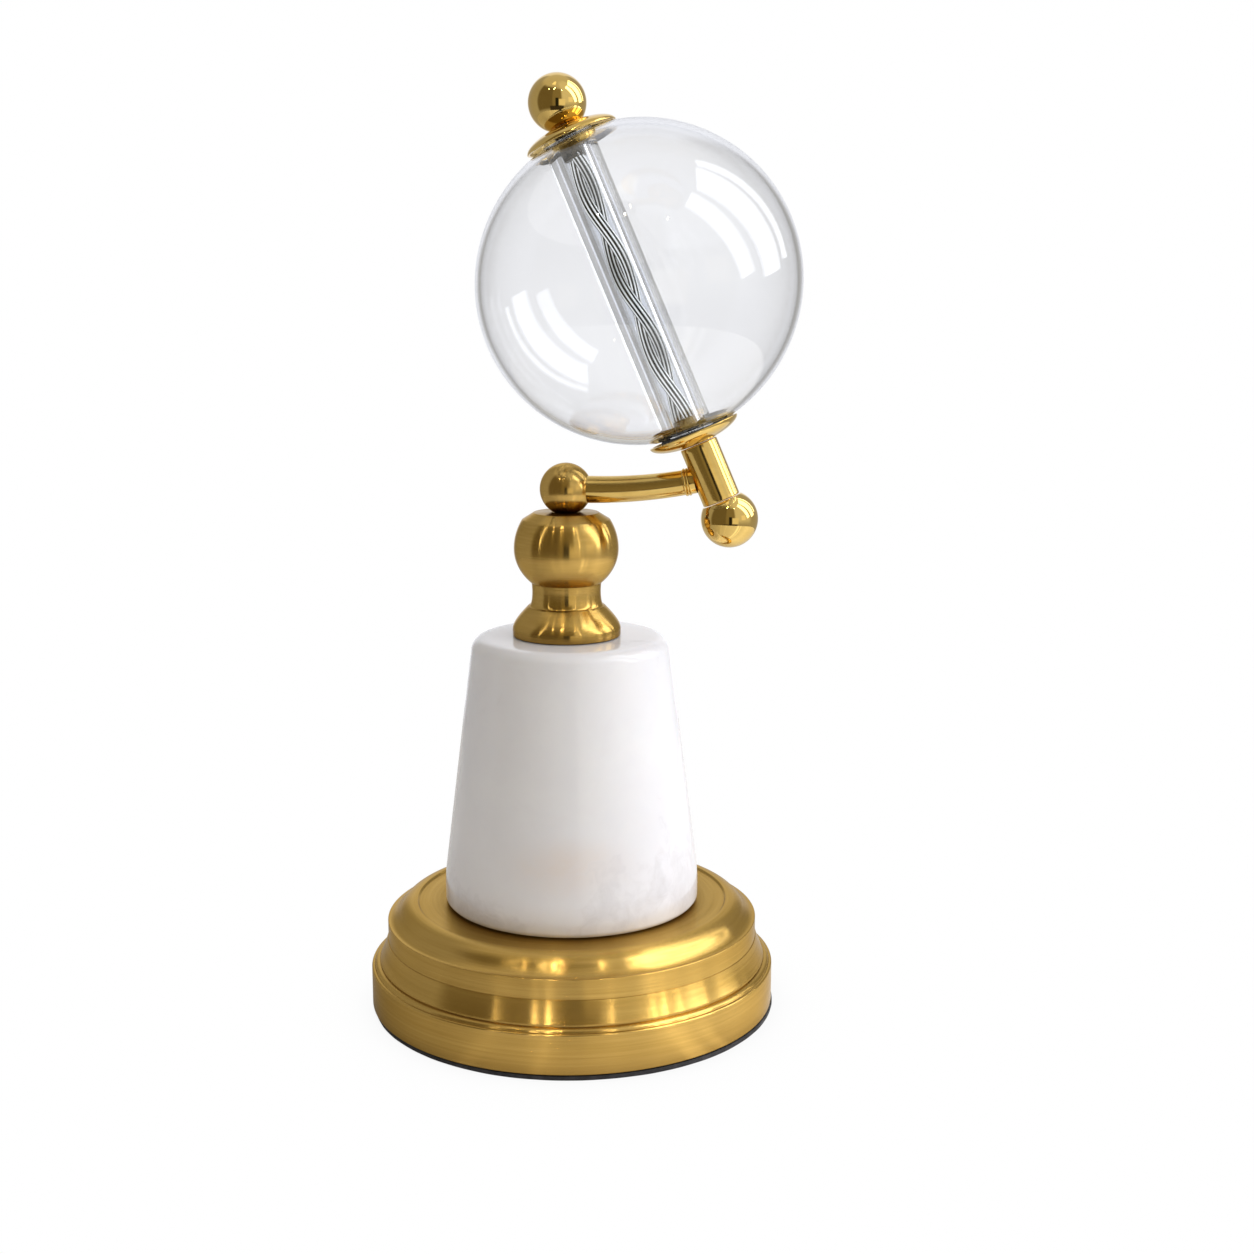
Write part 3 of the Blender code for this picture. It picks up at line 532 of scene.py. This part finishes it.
# Lower dish and top cap
# Two shallow spun brass cups, polished, that clamp the globe between them. Their rims are
# rolled thin, and their floors are flat where the ball or the sleeve is screwed on.
CUP_RIM, CUP_RADIUS, CUP_FLAT, CUP_DEPTH = 57.11, 17.4, 7.4, 4.7
CUP_INSIDE, CUP_FLOOR, CUP_FLOOR_AT = 16.3, 11.85, 60.31
cup_brass = polished_brass("Cup polished brass", 0.07, 0.14)
flat_turn = math.degrees(math.acos(CUP_FLAT / CUP_RADIUS))
outside_depth = CUP_DEPTH / math.sin(math.radians(flat_turn))
floor_turn = math.degrees(math.acos(CUP_FLOOR / CUP_INSIDE))
inside_depth = (CUP_FLOOR_AT - CUP_RIM) / math.sin(math.radians(floor_turn))
for cup_name, side in (("lower_dish", -1), ("top_cap", 1)):
    outline = [(0, CUP_RIM + CUP_DEPTH), (CUP_FLAT - 0.4, CUP_RIM + CUP_DEPTH)]
    outline += arc((0, CUP_RIM), (CUP_RADIUS, outside_depth), flat_turn, 4, 40)
    outline += arc((CUP_RADIUS - 0.35, CUP_RIM + 0.3), (0.33, 0.3), 0, -90, 6)
    outline += arc((CUP_INSIDE + 0.3, CUP_RIM + 0.3), (0.3, 0.3), -90, -180, 4)
    outline += arc((0, CUP_RIM), (CUP_INSIDE, inside_depth), 8, floor_turn, 16)
    outline += [(0, CUP_FLOOR_AT)]
    outline = [(r, side * z) for r, z in outline]
    piece = turned(f"{cup_name}_cup", outline, 160, axis)
    dress(piece, cup_brass, cup_name)

# Tube gasket
# A black rubber ring pressed round the tube's foot, in the globe's lower opening. It is thin
# at its rim and rises to the tube.
TUBE_SHIFT = -1.6
TUBE_RADIUS, TUBE_BORE, TUBE_HALF = 9.65, 4.8, 60.01
GASKET_BOTTOM, GASKET_EDGE, GASKET_TOP, GASKET_RADIUS = -58.9, -58.3, -55.2, 14.0
beside = axis @ Matrix.Translation((TUBE_SHIFT * MM, 0, 0))
rubber, tree, shader = new_material("Gasket rubber", Roughness=0.5, Specular_IOR_Level=0.5)
place = own_place(tree)
mottle = node(tree, "ShaderNodeTexNoise", Vector=place, Scale=500.0, Detail=4.0, Roughness=0.7).outputs["Fac"]
tree.links.new(ramp(tree, mottle, [(0.3, (0.008, 0.008, 0.008)), (0.75, (0.035, 0.033, 0.03))]),
               shader.inputs["Base Color"])
gasket_bump = node(tree, "ShaderNodeBump", Strength=0.4, Distance=0.0002, Height=mottle)
tree.links.new(gasket_bump.outputs["Normal"], shader.inputs["Normal"])
GASKET_SIDES = 128
verts, rings = [], []
for outer, height in ((False, GASKET_BOTTOM), (True, GASKET_BOTTOM), (True, GASKET_EDGE - 0.3), (None, GASKET_EDGE),
                      (False, GASKET_TOP)):
    rings.append(list(range(len(verts), len(verts) + GASKET_SIDES)))
    for t in np.linspace(0, math.tau, GASKET_SIDES, endpoint=False):
        on_rim = Vector((GASKET_RADIUS * math.cos(t), GASKET_RADIUS * math.sin(t), height))
        beside_tube = TUBE_RADIUS + 0.05
        on_tube = Vector((TUBE_SHIFT + beside_tube * math.cos(t), beside_tube * math.sin(t), height))
        where = {True: on_rim, False: on_tube, None: on_rim.lerp(on_tube, 0.15)}[outer]
        verts.append(where * MM)
faces = []
for low, high in zip(rings, rings[1:] + rings[:1]):
    for k in range(GASKET_SIDES):
        n = (k + 1) % GASKET_SIDES
        faces.append((low[k], low[n], high[n], high[k]))
mesh = bpy.data.meshes.new("tube_gasket_ring")
mesh.from_pydata(verts, [], faces)
tube_gasket = new_piece("tube_gasket_ring", mesh, axis)
dress(tube_gasket, rubber, "tube_gasket")

# Inner tube
# A thick clear glass tube whose bore the core fills. The wall of the bore mirrors the windows
# beside the core. The tube's ends stand in the dish and in the cap.
tube_glass, tree, shader = new_material("Tube clear glass", Roughness=0.0, Metallic=0.0, IOR=1.47,
                                        Transmission_Weight=1.0)
place = own_place(tree)
draw_lines = node(tree, "ShaderNodeVectorMath", {"operation": "MULTIPLY"}, i0=place, i1=(420.0, 420.0, 9.0))
drawn = node(tree, "ShaderNodeTexNoise", Vector=draw_lines.outputs[0], Scale=1.0, Detail=2.0).outputs["Fac"]
tree.links.new(ramp(tree, drawn, [(0.3, (0.90, 0.92, 0.950)), (0.7, (0.925, 0.94, 0.965))]),
               shader.inputs["Base Color"])
tube_bump = node(tree, "ShaderNodeBump", Strength=0.08, Distance=0.00005, Height=drawn)
tree.links.new(tube_bump.outputs["Normal"], shader.inputs["Normal"])
tube_profile = rounded((TUBE_BORE, 0), (TUBE_BORE, -TUBE_HALF), (TUBE_RADIUS, -TUBE_HALF), 0.3, 3)
tube_profile += rounded((TUBE_BORE, -TUBE_HALF), (TUBE_RADIUS, -TUBE_HALF), (TUBE_RADIUS, 0), 0.3, 3)
tube_profile += straight((TUBE_RADIUS, -TUBE_HALF + 1), (TUBE_RADIUS, TUBE_HALF - 1), 24)
tube_profile += rounded((TUBE_RADIUS, 0), (TUBE_RADIUS, TUBE_HALF), (TUBE_BORE, TUBE_HALF), 0.3, 3)
tube_profile += rounded((TUBE_RADIUS, TUBE_HALF), (TUBE_BORE, TUBE_HALF), (TUBE_BORE, 0), 0.3, 3)
tube_profile += straight((TUBE_BORE, TUBE_HALF - 1), (TUBE_BORE, -TUBE_HALF + 1), 24)
inner_tube = turned("inner_tube_glass", tube_profile, 160, beside, ring=True)
dress(inner_tube, tube_glass, "inner_tube")

# Twisted core
# Two round strands of fine steel wire twisted together, which fill the bore. The wires of a
# strand stay parallel as it turns. Each end is clamped in a dark threaded fitting.
# Bright and dark wires alternate as painted highlight and painted shade, and the bright ones glow a little, as
# painted light, so that they read white.
CORE_PITCH = 31.0
CORE_CROSSING = 53.6
CROSSING_TURN = math.radians(98.7)
STRAND_OFFSET, STRAND_RADIUS = 2.15, 1.95
WIRES = 18
WIRE_RADIUS = 0.28
WIRE_SIDES = 8
# How bright the wires are painted midway between crossings: painted shade on each lobe
MID_LOBE_PAINTED_SHADE = 0.85
CORE_STEPS = 150
SHADE_BACKING_SIDES = 16
FITTING_RADIUS, FITTING_TOP, FITTING_LOW = 4.4, 10.2, 8.6

steel, tree, shader = new_material("Twisted steel wire", Metallic=1.0, Roughness=0.26, Emission_Strength=0.9)
place = own_place(tree)
# Each wire's level of painted light: high for a painted highlight, low for painted shade
painted_level = node(tree, "ShaderNodeAttribute", {"attribute_name": "wire_painted_light"}).outputs["Fac"]
streaks = node(tree, "ShaderNodeTexNoise", Vector=place, Scale=300.0, Detail=3.0).outputs["Fac"]
painted_wire_colour = ramp(tree, painted_level, [(0.0, (0.012, 0.014, 0.015)), (0.35, (0.13, 0.165, 0.17)), (0.7, (0.52, 0.50, 0.48)),
                                (1.0, (0.95, 0.95, 0.94))])
dulled = ramp(tree, streaks, [(0.35, (0.72, 0.72, 0.72)), (0.65, (1.0, 1.0, 1.0))])
streaks_and_painted_light = node(tree, "ShaderNodeMix", {"data_type": "RGBA", "blend_type": "MULTIPLY"}, i0=1.0, i6=painted_wire_colour,
                   i7=dulled)
tree.links.new(streaks_and_painted_light.outputs[2], shader.inputs["Base Color"])
# Painted light: the bright wires glow
painted_glow = ramp(tree, painted_level, [(0.55, (0.0, 0.0, 0.0)), (0.80, (0.85, 0.87, 0.88)), (1.0, (1.0, 1.0, 1.0))])
tree.links.new(painted_glow, shader.inputs["Emission Color"])


def strand_point(z, strand, around, radius):
    """A point on a strand, at one angle round the strand's own middle."""
    twist = CROSSING_TURN - math.pi * (z - CORE_CROSSING) / CORE_PITCH + math.pi * strand
    return Vector((STRAND_OFFSET * math.cos(twist) + radius * math.cos(around),
                   STRAND_OFFSET * math.sin(twist) + radius * math.sin(around), z))


def wire(verts, faces, path, radius, sides):
    """Adds a round wire along a path of points, with closed ends."""
    rings = []
    side = Vector((1, 0, 0))
    for i, point in enumerate(path):
        ahead = (path[min(i + 1, len(path) - 1)] - path[max(i - 1, 0)]).normalized()
        side = (side - ahead * side.dot(ahead)).normalized()
        other = ahead.cross(side)
        rings.append(list(range(len(verts), len(verts) + sides)))
        for t in np.linspace(0, math.tau, sides, endpoint=False):
            verts.append((point + radius * (side * math.cos(t) + other * math.sin(t))) * MM)
    for low, high in zip(rings, rings[1:]):
        faces += [(low[k], low[(k + 1) % sides], high[(k + 1) % sides], high[k]) for k in range(sides)]
    faces += [tuple(rings[0])[::-1], tuple(rings[-1])]


rng = np.random.default_rng(17)
verts, faces, painted_levels = [], [], []
core_ends = (-TUBE_HALF + FITTING_LOW - 1.5, TUBE_HALF - FITTING_TOP + 1.5)
heights = [float(z) for z in np.linspace(*core_ends, CORE_STEPS)]
# Painted shade: the wires darken midway between crossings and are brightest at them
painted_lobe_shades = []
for z in heights:
    crossing = math.cos(math.pi * (z - CORE_CROSSING) / CORE_PITCH) ** 2
    painted_lobe_shades.append(MID_LOBE_PAINTED_SHADE + (1 - MID_LOBE_PAINTED_SHADE) * crossing)
for strand in (0, 1):
    for w in range(WIRES):
        around = math.tau * (w + rng.uniform(-0.12, 0.12)) / WIRES
        radius = STRAND_RADIUS - 0.04 + rng.uniform(-0.06, 0.0)
        # Odd wires get a painted highlight, even ones painted shade
        painted_level = rng.uniform(0.76, 1.0) if w % 2 else rng.uniform(0.0, 0.30)
        path = [strand_point(z, strand, around, radius) for z in heights]
        wire(verts, faces, path, WIRE_RADIUS, WIRE_SIDES)
        painted_levels += [painted_level * lobe_shade for lobe_shade in painted_lobe_shades for _ in range(WIRE_SIDES)]
    # A near-black rod in the strand's middle, painted shade that darkens the gaps between the wires
    shade_backing = []
    for z in heights:
        shade_backing.append(list(range(len(verts), len(verts) + SHADE_BACKING_SIDES)))
        for k in range(SHADE_BACKING_SIDES):
            verts.append(strand_point(z, strand, math.tau * k / SHADE_BACKING_SIDES, STRAND_RADIUS - 0.15) * MM)
    painted_levels += [0.0] * (SHADE_BACKING_SIDES * len(heights))
    for low, high in zip(shade_backing, shade_backing[1:]):
        for k in range(SHADE_BACKING_SIDES):
            n = (k + 1) % SHADE_BACKING_SIDES
            faces.append((low[k], low[n], high[n], high[k]))
mesh = bpy.data.meshes.new("twisted_core_wires")
mesh.from_pydata(verts, [], faces)
mesh.attributes.new("wire_painted_light", "FLOAT", "POINT").data.foreach_set("value", painted_levels)
twisted_core = new_piece("twisted_core_wires", mesh, beside, 60.0)
dress(twisted_core, steel, "twisted_core")

fitting_steel, tree, shader = new_material("Dark threaded steel", Metallic=0.7, Roughness=0.4)
place = own_place(tree)
scale_marks = node(tree, "ShaderNodeTexNoise", Vector=place, Scale=900.0, Detail=3.0, Roughness=0.7).outputs["Fac"]
tree.links.new(ramp(tree, scale_marks, [(0.42, (0.012, 0.012, 0.012)), (0.62, (0.17, 0.145, 0.10))]),
               shader.inputs["Base Color"])
THREAD_PITCH, THREAD_DEPTH = 0.62, 0.22
for end_name, low, high in (("upper", TUBE_HALF - FITTING_TOP, TUBE_HALF),
                            ("lower", -TUBE_HALF, -TUBE_HALF + FITTING_LOW)):
    outline = [(0, low), (3.2, low)]
    turns = int((high - low) / THREAD_PITCH)
    for k in range(turns):
        z = low + k * THREAD_PITCH
        outline += [(FITTING_RADIUS - THREAD_DEPTH, z + 0.02), (FITTING_RADIUS, z + 0.5 * THREAD_PITCH)]
    outline += [(FITTING_RADIUS - THREAD_DEPTH, high - 0.1), (3.2, high), (0, high)]
    fitting = turned(f"core_fitting_{end_name}", outline, 96, beside)
    fitting.data.materials.append(fitting_steel)
    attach(fitting, "root")

# Glass globe
# A thin clear blown shell with true walls, open at both poles. Its middle stands off the axis
# of the dish and the cap by a little, and the openings are bored on that axis.
GLOBE_SHIFT = 2.4
GLOBE_OUTSIDE, GLOBE_INSIDE = (60.0, 58.4), (58.0, 56.4)
GLOBE_OPENING = 14.6
GLOBE_SIDES, GLOBE_ROWS = 224, 128

globe_glass, tree, shader = new_material("Globe clear glass", Roughness=0.0, Metallic=0.0, IOR=1.45,
                                         Transmission_Weight=1.0)
place = own_place(tree)
ripple = node(tree, "ShaderNodeTexNoise", Vector=place, Scale=16.0, Detail=1.0).outputs["Fac"]
# Painted shade: the glass colour darkens as the wall turns edge-on, so the globe's rim reads dark.
edge_on = node(tree, "ShaderNodeLayerWeight", Blend=0.5).outputs["Facing"]
painted_rim_shade = ramp(tree, edge_on, [(0.55, (0.955, 0.960, 0.977)), (0.82, (0.88, 0.885, 0.905)),
                                  (1.0, (0.50, 0.51, 0.54))])
clear_tint = ramp(tree, ripple, [(0.3, (0.99, 0.99, 0.99)), (0.7, (1.0, 1.0, 1.0))])
rim_shade_and_ripple_tint = node(tree, "ShaderNodeMix", {"data_type": "RGBA", "blend_type": "MULTIPLY"}, i0=1.0, i6=painted_rim_shade,
                  i7=clear_tint)
tree.links.new(rim_shade_and_ripple_tint.outputs[2], shader.inputs["Base Color"])
globe_bump = node(tree, "ShaderNodeBump", Strength=0.03, Distance=0.001, Height=ripple)
tree.links.new(globe_bump.outputs["Normal"], shader.inputs["Normal"])

verts, columns = [], []
for turn in np.linspace(0, math.tau, GLOBE_SIDES, endpoint=False):
    column = []
    for (reach, pole), order in ((GLOBE_OUTSIDE, 1), (GLOBE_INSIDE, -1)):
        middle = GLOBE_SHIFT * math.cos(turn)
        wide = math.sqrt(reach ** 2 - (GLOBE_SHIFT * math.sin(turn)) ** 2)
        end = math.acos((GLOBE_OPENING - middle) / wide)
        for t in np.linspace(-end, end, GLOBE_ROWS + 1)[::order]:
            out = middle + wide * math.cos(t)
            column.append(len(verts))
            up = pole * wide / reach * math.sin(t)
            verts.append(Vector((out * math.cos(turn), out * math.sin(turn), up)) * MM)
    columns.append(column)
faces = []
for left, right in zip(columns, columns[1:] + columns[:1]):
    for k in range(len(left)):
        n = (k + 1) % len(left)
        faces.append((left[k], right[k], right[n], left[n]))
mesh = bpy.data.meshes.new("glass_globe_shell")
mesh.from_pydata(verts, [], faces)
glass_globe = new_piece("glass_globe_shell", mesh, axis)
dress(glass_globe, globe_glass, "glass_globe")

# Floor
# A plain pale table top. It looks white from everywhere, with a soft painted shadow where the
# ornament stands. What the brass mirrors of it is lit by the lamps plus a painted glow, dimmer, brightest towards the
# windows, with narrow painted streaks of light. TABLE_GLOW holds (share of a turn, glow) from behind, round.
FLOOR_RADIUS = 0.55
FLOOR_SIDES = 96
SHADE_REACH = 0.11
GLOBE_WALLS = 4
TUBE_SIGHT = 0.38
TABLE_GLOW = ((0.0, 0.20), (0.30, 0.09), (0.40, 0.19), (0.430, 0.26), (0.438, 0.40), (0.446, 0.40), (0.454, 0.30),
              (0.494, 0.38), (0.501, 0.55), (0.508, 0.40), (0.60, 0.46), (0.621, 0.48), (0.628, 1.05), (0.640, 1.05),
              (0.647, 0.52), (0.655, 0.54), (0.659, 0.95), (0.664, 0.95), (0.669, 0.50), (0.74, 0.70), (1.0, 0.20))


def straight_sight(tree):
    """Is 1 where a ray has passed only the globe's walls, and 0 once it is mirrored.

    A ray that has also passed the tube gives TUBE_SIGHT.
    """
    rays = node(tree, "ShaderNodeLightPath").outputs
    turned_off = node(tree, "ShaderNodeMath", {"operation": "ADD"}, i0=rays["Glossy Depth"], i1=rays["Diffuse Depth"])
    direct = node(tree, "ShaderNodeMath", {"operation": "LESS_THAN"}, i0=turned_off.outputs[0], i1=0.5)
    thin = node(tree, "ShaderNodeMath", {"operation": "LESS_THAN"}, i0=rays["Transmission Depth"],
                i1=GLOBE_WALLS + 0.5)
    clear = node(tree, "ShaderNodeMapRange", Value=thin.outputs[0], i3=TUBE_SIGHT, i4=1.0)
    both = node(tree, "ShaderNodeMath", {"operation": "MULTIPLY"}, i0=direct.outputs[0], i1=clear.outputs[0])
    return both.outputs[0]


floor_paint, tree, shader = new_material("Pale floor", Roughness=0.8, Specular_IOR_Level=0.2, Emission_Strength=1.0)
shader.inputs["Base Color"].default_value = (0.50, 0.49, 0.475, 1)
spot = node(tree, "ShaderNodeSeparateXYZ", Vector=node(tree, "ShaderNodeTexCoord").outputs["Object"])
to_front = node(tree, "ShaderNodeMath", {"operation": "MULTIPLY"}, i0=spot.outputs["Y"], i1=-1.0)
spot_heading = node(tree, "ShaderNodeMath", {"operation": "ARCTAN2"}, i0=spot.outputs["X"], i1=to_front.outputs[0])
round_table = node(tree, "ShaderNodeMapRange", Value=spot_heading.outputs[0], i1=-math.pi, i2=math.pi)
# Painted light: what the brass mirrors of the floor glows by heading, brightest towards the windows, with narrow
# painted streaks.
painted_floor_glow = ramp(tree, round_table.outputs[0], [(at, (glow, 0.985 * glow, 0.955 * glow)) for at, glow in TABLE_GLOW])
tree.links.new(painted_floor_glow, shader.inputs["Emission Color"])
clear_view = straight_sight(tree)
# Painted shadow: the white that is seen straight or through the globe darkens where the ornament is near.
near = node(tree, "ShaderNodeAmbientOcclusion", {"samples": 8}, Distance=SHADE_REACH)
shade = ramp(tree, near.outputs["AO"], [(0.0, (0.62, 0.61, 0.60)), (0.4, (0.93, 0.93, 0.93)), (0.8, (1.0, 1.0, 1.0))])
white = node(tree, "ShaderNodeEmission", Color=shade, Strength=1.0)
either = node(tree, "ShaderNodeMixShader", i0=clear_view, i1=shader.outputs[0], i2=white.outputs[0])
tree.links.new(either.outputs[0], tree.nodes["Material Output"].inputs["Surface"])
mesh = bpy.data.meshes.new("floor")
rim_turns = np.linspace(0, math.tau, FLOOR_SIDES, endpoint=False)
rim = [(FLOOR_RADIUS * math.cos(t), FLOOR_RADIUS * math.sin(t), 0) for t in rim_turns]
mesh.from_pydata(rim, [], [tuple(range(FLOOR_SIDES))])
floor = bpy.data.objects.new("floor", mesh)
floor.data.materials.append(floor_paint)
bpy.context.scene.collection.objects.link(floor)

# Studio light
# A plain white surround as the camera sees it. What the metal and the glass mirror is a quiet
# warm room, dim on the camera's side, with tall bright windows to the right.
# Headings are in degrees from the front, towards the arm's side.
world = bpy.data.worlds.new("Studio")
bpy.context.scene.world = world
world.use_nodes = True
tree = world.node_tree
background = tree.nodes["Background"]

panel, given, result = new_group(
    "Room panel",
    [("Room", COLOUR, (0, 0, 0, 1)), ("Panel", COLOUR, (1, 1, 1, 1)), ("Heading", VALUE, 0.0),
     ("Half width", VALUE, 0.3), ("Height", VALUE, 0.0), ("Half height", VALUE, 0.3), ("Softness", VALUE, 0.1)],
    [("Room", COLOUR)])
direction = node(panel, "ShaderNodeTexCoord").outputs["Generated"]
facing = node(panel, "ShaderNodeVectorRotate", {"rotation_type": "Z_AXIS"}, Vector=direction, Angle=given["Heading"])
parts = node(panel, "ShaderNodeSeparateXYZ", Vector=facing.outputs[0])
back = node(panel, "ShaderNodeMath", {"operation": "MULTIPLY"}, i0=parts.outputs["Y"], i1=-1.0)
heading = node(panel, "ShaderNodeMath", {"operation": "ARCTAN2"}, i0=parts.outputs["X"], i1=back.outputs[0])
elevation = node(panel, "ShaderNodeMath", {"operation": "ARCSINE"}, i0=parts.outputs["Z"])
off_height = node(panel, "ShaderNodeMath", {"operation": "SUBTRACT"}, i0=elevation.outputs[0], i1=given["Height"])
masks = []
for offset, half in ((heading, "Half width"), (off_height, "Half height")):
    away = node(panel, "ShaderNodeMath", {"operation": "ABSOLUTE"}, i0=offset.outputs[0])
    edge = node(panel, "ShaderNodeMath", {"operation": "ADD"}, i0=given[half], i1=given["Softness"])
    masks.append(node(panel, "ShaderNodeMapRange", {"interpolation_type": "SMOOTHSTEP"}, Value=away.outputs[0],
                      i1=given[half], i2=edge.outputs[0], i3=1.0, i4=0.0).outputs[0])
inside = node(panel, "ShaderNodeMath", {"operation": "MULTIPLY"}, i0=masks[0], i1=masks[1])
blended = node(panel, "ShaderNodeMix", {"data_type": "RGBA"}, i0=inside.outputs[0], i6=given["Room"],
               i7=given["Panel"])
panel.links.new(blended.outputs[2], result["Room"])

room = (0.43, 0.42, 0.40, 1)
for colour, heading_deg, half_width, height_deg, half_height, softness in (
        ((0.64, 0.62, 0.57), 0, 180, 85, 25, 15),
        ((0.95, 0.96, 1.00), 190, 16, 20, 30, 12),
        ((0.80, 0.79, 0.74), 62, 24, 34, 30, 24),
        ((0.17, 0.14, 0.08), -32, 34, 14, 34, 12),
        ((0.26, 0.22, 0.13), 10, 14, 10, 34, 8),
        ((0.95, 0.90, 0.75), 30, 10, -2, 9, 5),
        ((1.10, 1.05, 0.92), 65, 7, 8, 6, 4),
        ((0.05, 0.04, 0.03), 10, 26, -24, 6, 5),
        ((0.02, 0.02, 0.015), 10, 4, -2, 14, 4),
        ((1.40, 1.30, 1.05), -15, 12, 73, 5, 5)):
    step = node(tree, "ShaderNodeGroup", {"node_tree": panel}, Room=room, Panel=(*colour, 1),
                Heading=math.radians(-heading_deg), Half_width=math.radians(half_width),
                Height=math.radians(height_deg), Half_height=math.radians(half_height),
                Softness=math.radians(softness))
    room = step.outputs["Room"]
clear_view = straight_sight(tree)
shown = node(tree, "ShaderNodeMix", {"data_type": "RGBA"}, i0=clear_view, i6=room,
             i7=(1.0, 1.0, 1.0, 1))
tree.links.new(shown.outputs[2], background.inputs["Color"])


def softbox(name, heading_deg, height_deg, distance, width, height, radiance, colour=(1, 1, 1), lean_deg=0.0):
    """A rectangular light that faces the ornament's middle. A lean tips its top towards the front."""
    lamp = bpy.data.lights.new(name, "AREA")
    lamp.shape = "RECTANGLE"
    lamp.size, lamp.size_y = width, height
    lamp.energy = radiance * math.pi * width * height
    lamp.color = colour
    light = bpy.data.objects.new(name, lamp)
    turn, lift = math.radians(heading_deg), math.radians(height_deg)
    outward = Vector((math.sin(turn) * math.cos(lift), -math.cos(turn) * math.cos(lift), math.sin(lift)))
    light.location = Vector((0.01, 0, 0.2)) + outward * distance
    facing_in = outward.to_track_quat("Z", "Y") @ Quaternion((0, 0, 1), math.radians(lean_deg))
    light.rotation_euler = facing_in.to_euler()
    light.visible_camera = False
    bpy.context.scene.collection.objects.link(light)
    return light


for k, (heading_deg, height_deg, width, height, lean_deg) in enumerate((
        (79, 31, 0.51, 2.29, 21.6), (108, 34, 0.78, 2.49, 11.0), (130, 36, 0.19, 2.24, 3.0))):
    softbox(f"window_{k}", heading_deg, height_deg, 2.2, width, height, 3.1, (0.97, 0.985, 1.0), lean_deg)
for k, (heading_deg, height_deg, size, radiance) in enumerate((
        (-5, 50, 0.035, 110.0), (-1, 56, 0.03, 100.0), (-29, 48, 0.03, 100.0), (33, 46, 0.03, 90.0))):
    softbox(f"lamp_{k}", heading_deg, height_deg, 1.8, size, size * 1.6, radiance, (1.0, 0.86, 0.62))

# Thin upright strips draw long bars of light on one brushed piece each, and light nothing else
for k, (piece, heading_deg, width, radiance) in enumerate((
        (stepped_base, -35, 0.05, 4.0), (stepped_base, -12, 0.03, 12.0), (stepped_base, -4, 0.03, 15.0),
        (stepped_base, 33, 0.02, 10.0), (stepped_base, 58, 0.03, 12.0), (stepped_base, 65, 0.05, 13.0),
        (stepped_base, 75, 0.04, 11.0), (stepped_base, 93, 0.04, 9.0), (turned_neck, -51, 0.03, 9.0),
        (turned_neck, 40, 0.02, 6.0))):
    strip = softbox(f"strip_{k}", heading_deg, 30, 1.6, width, 1.3, radiance, (1.0, 0.95, 0.84))
    strip.light_linking.receiver_collection = bpy.data.collections.new(f"Lit by strip {k}")
    strip.light_linking.receiver_collection.objects.link(piece)

# Camera
# It stands where the photographer's stood, worked out from the base's rings and the globe.
camera_data = bpy.data.cameras.new("camera")
camera_data.lens = 53.17
camera_data.sensor_width = 36.0
camera_data.clip_start = 0.01
camera_data.clip_end = 50.0
camera = bpy.data.objects.new("camera", camera_data)
camera.location = (0.12596, -0.67939, 0.28398)
camera.rotation_euler = (math.radians(78.91), 0.0, math.radians(8.72))
bpy.context.scene.collection.objects.link(camera)
bpy.context.scene.camera = camera
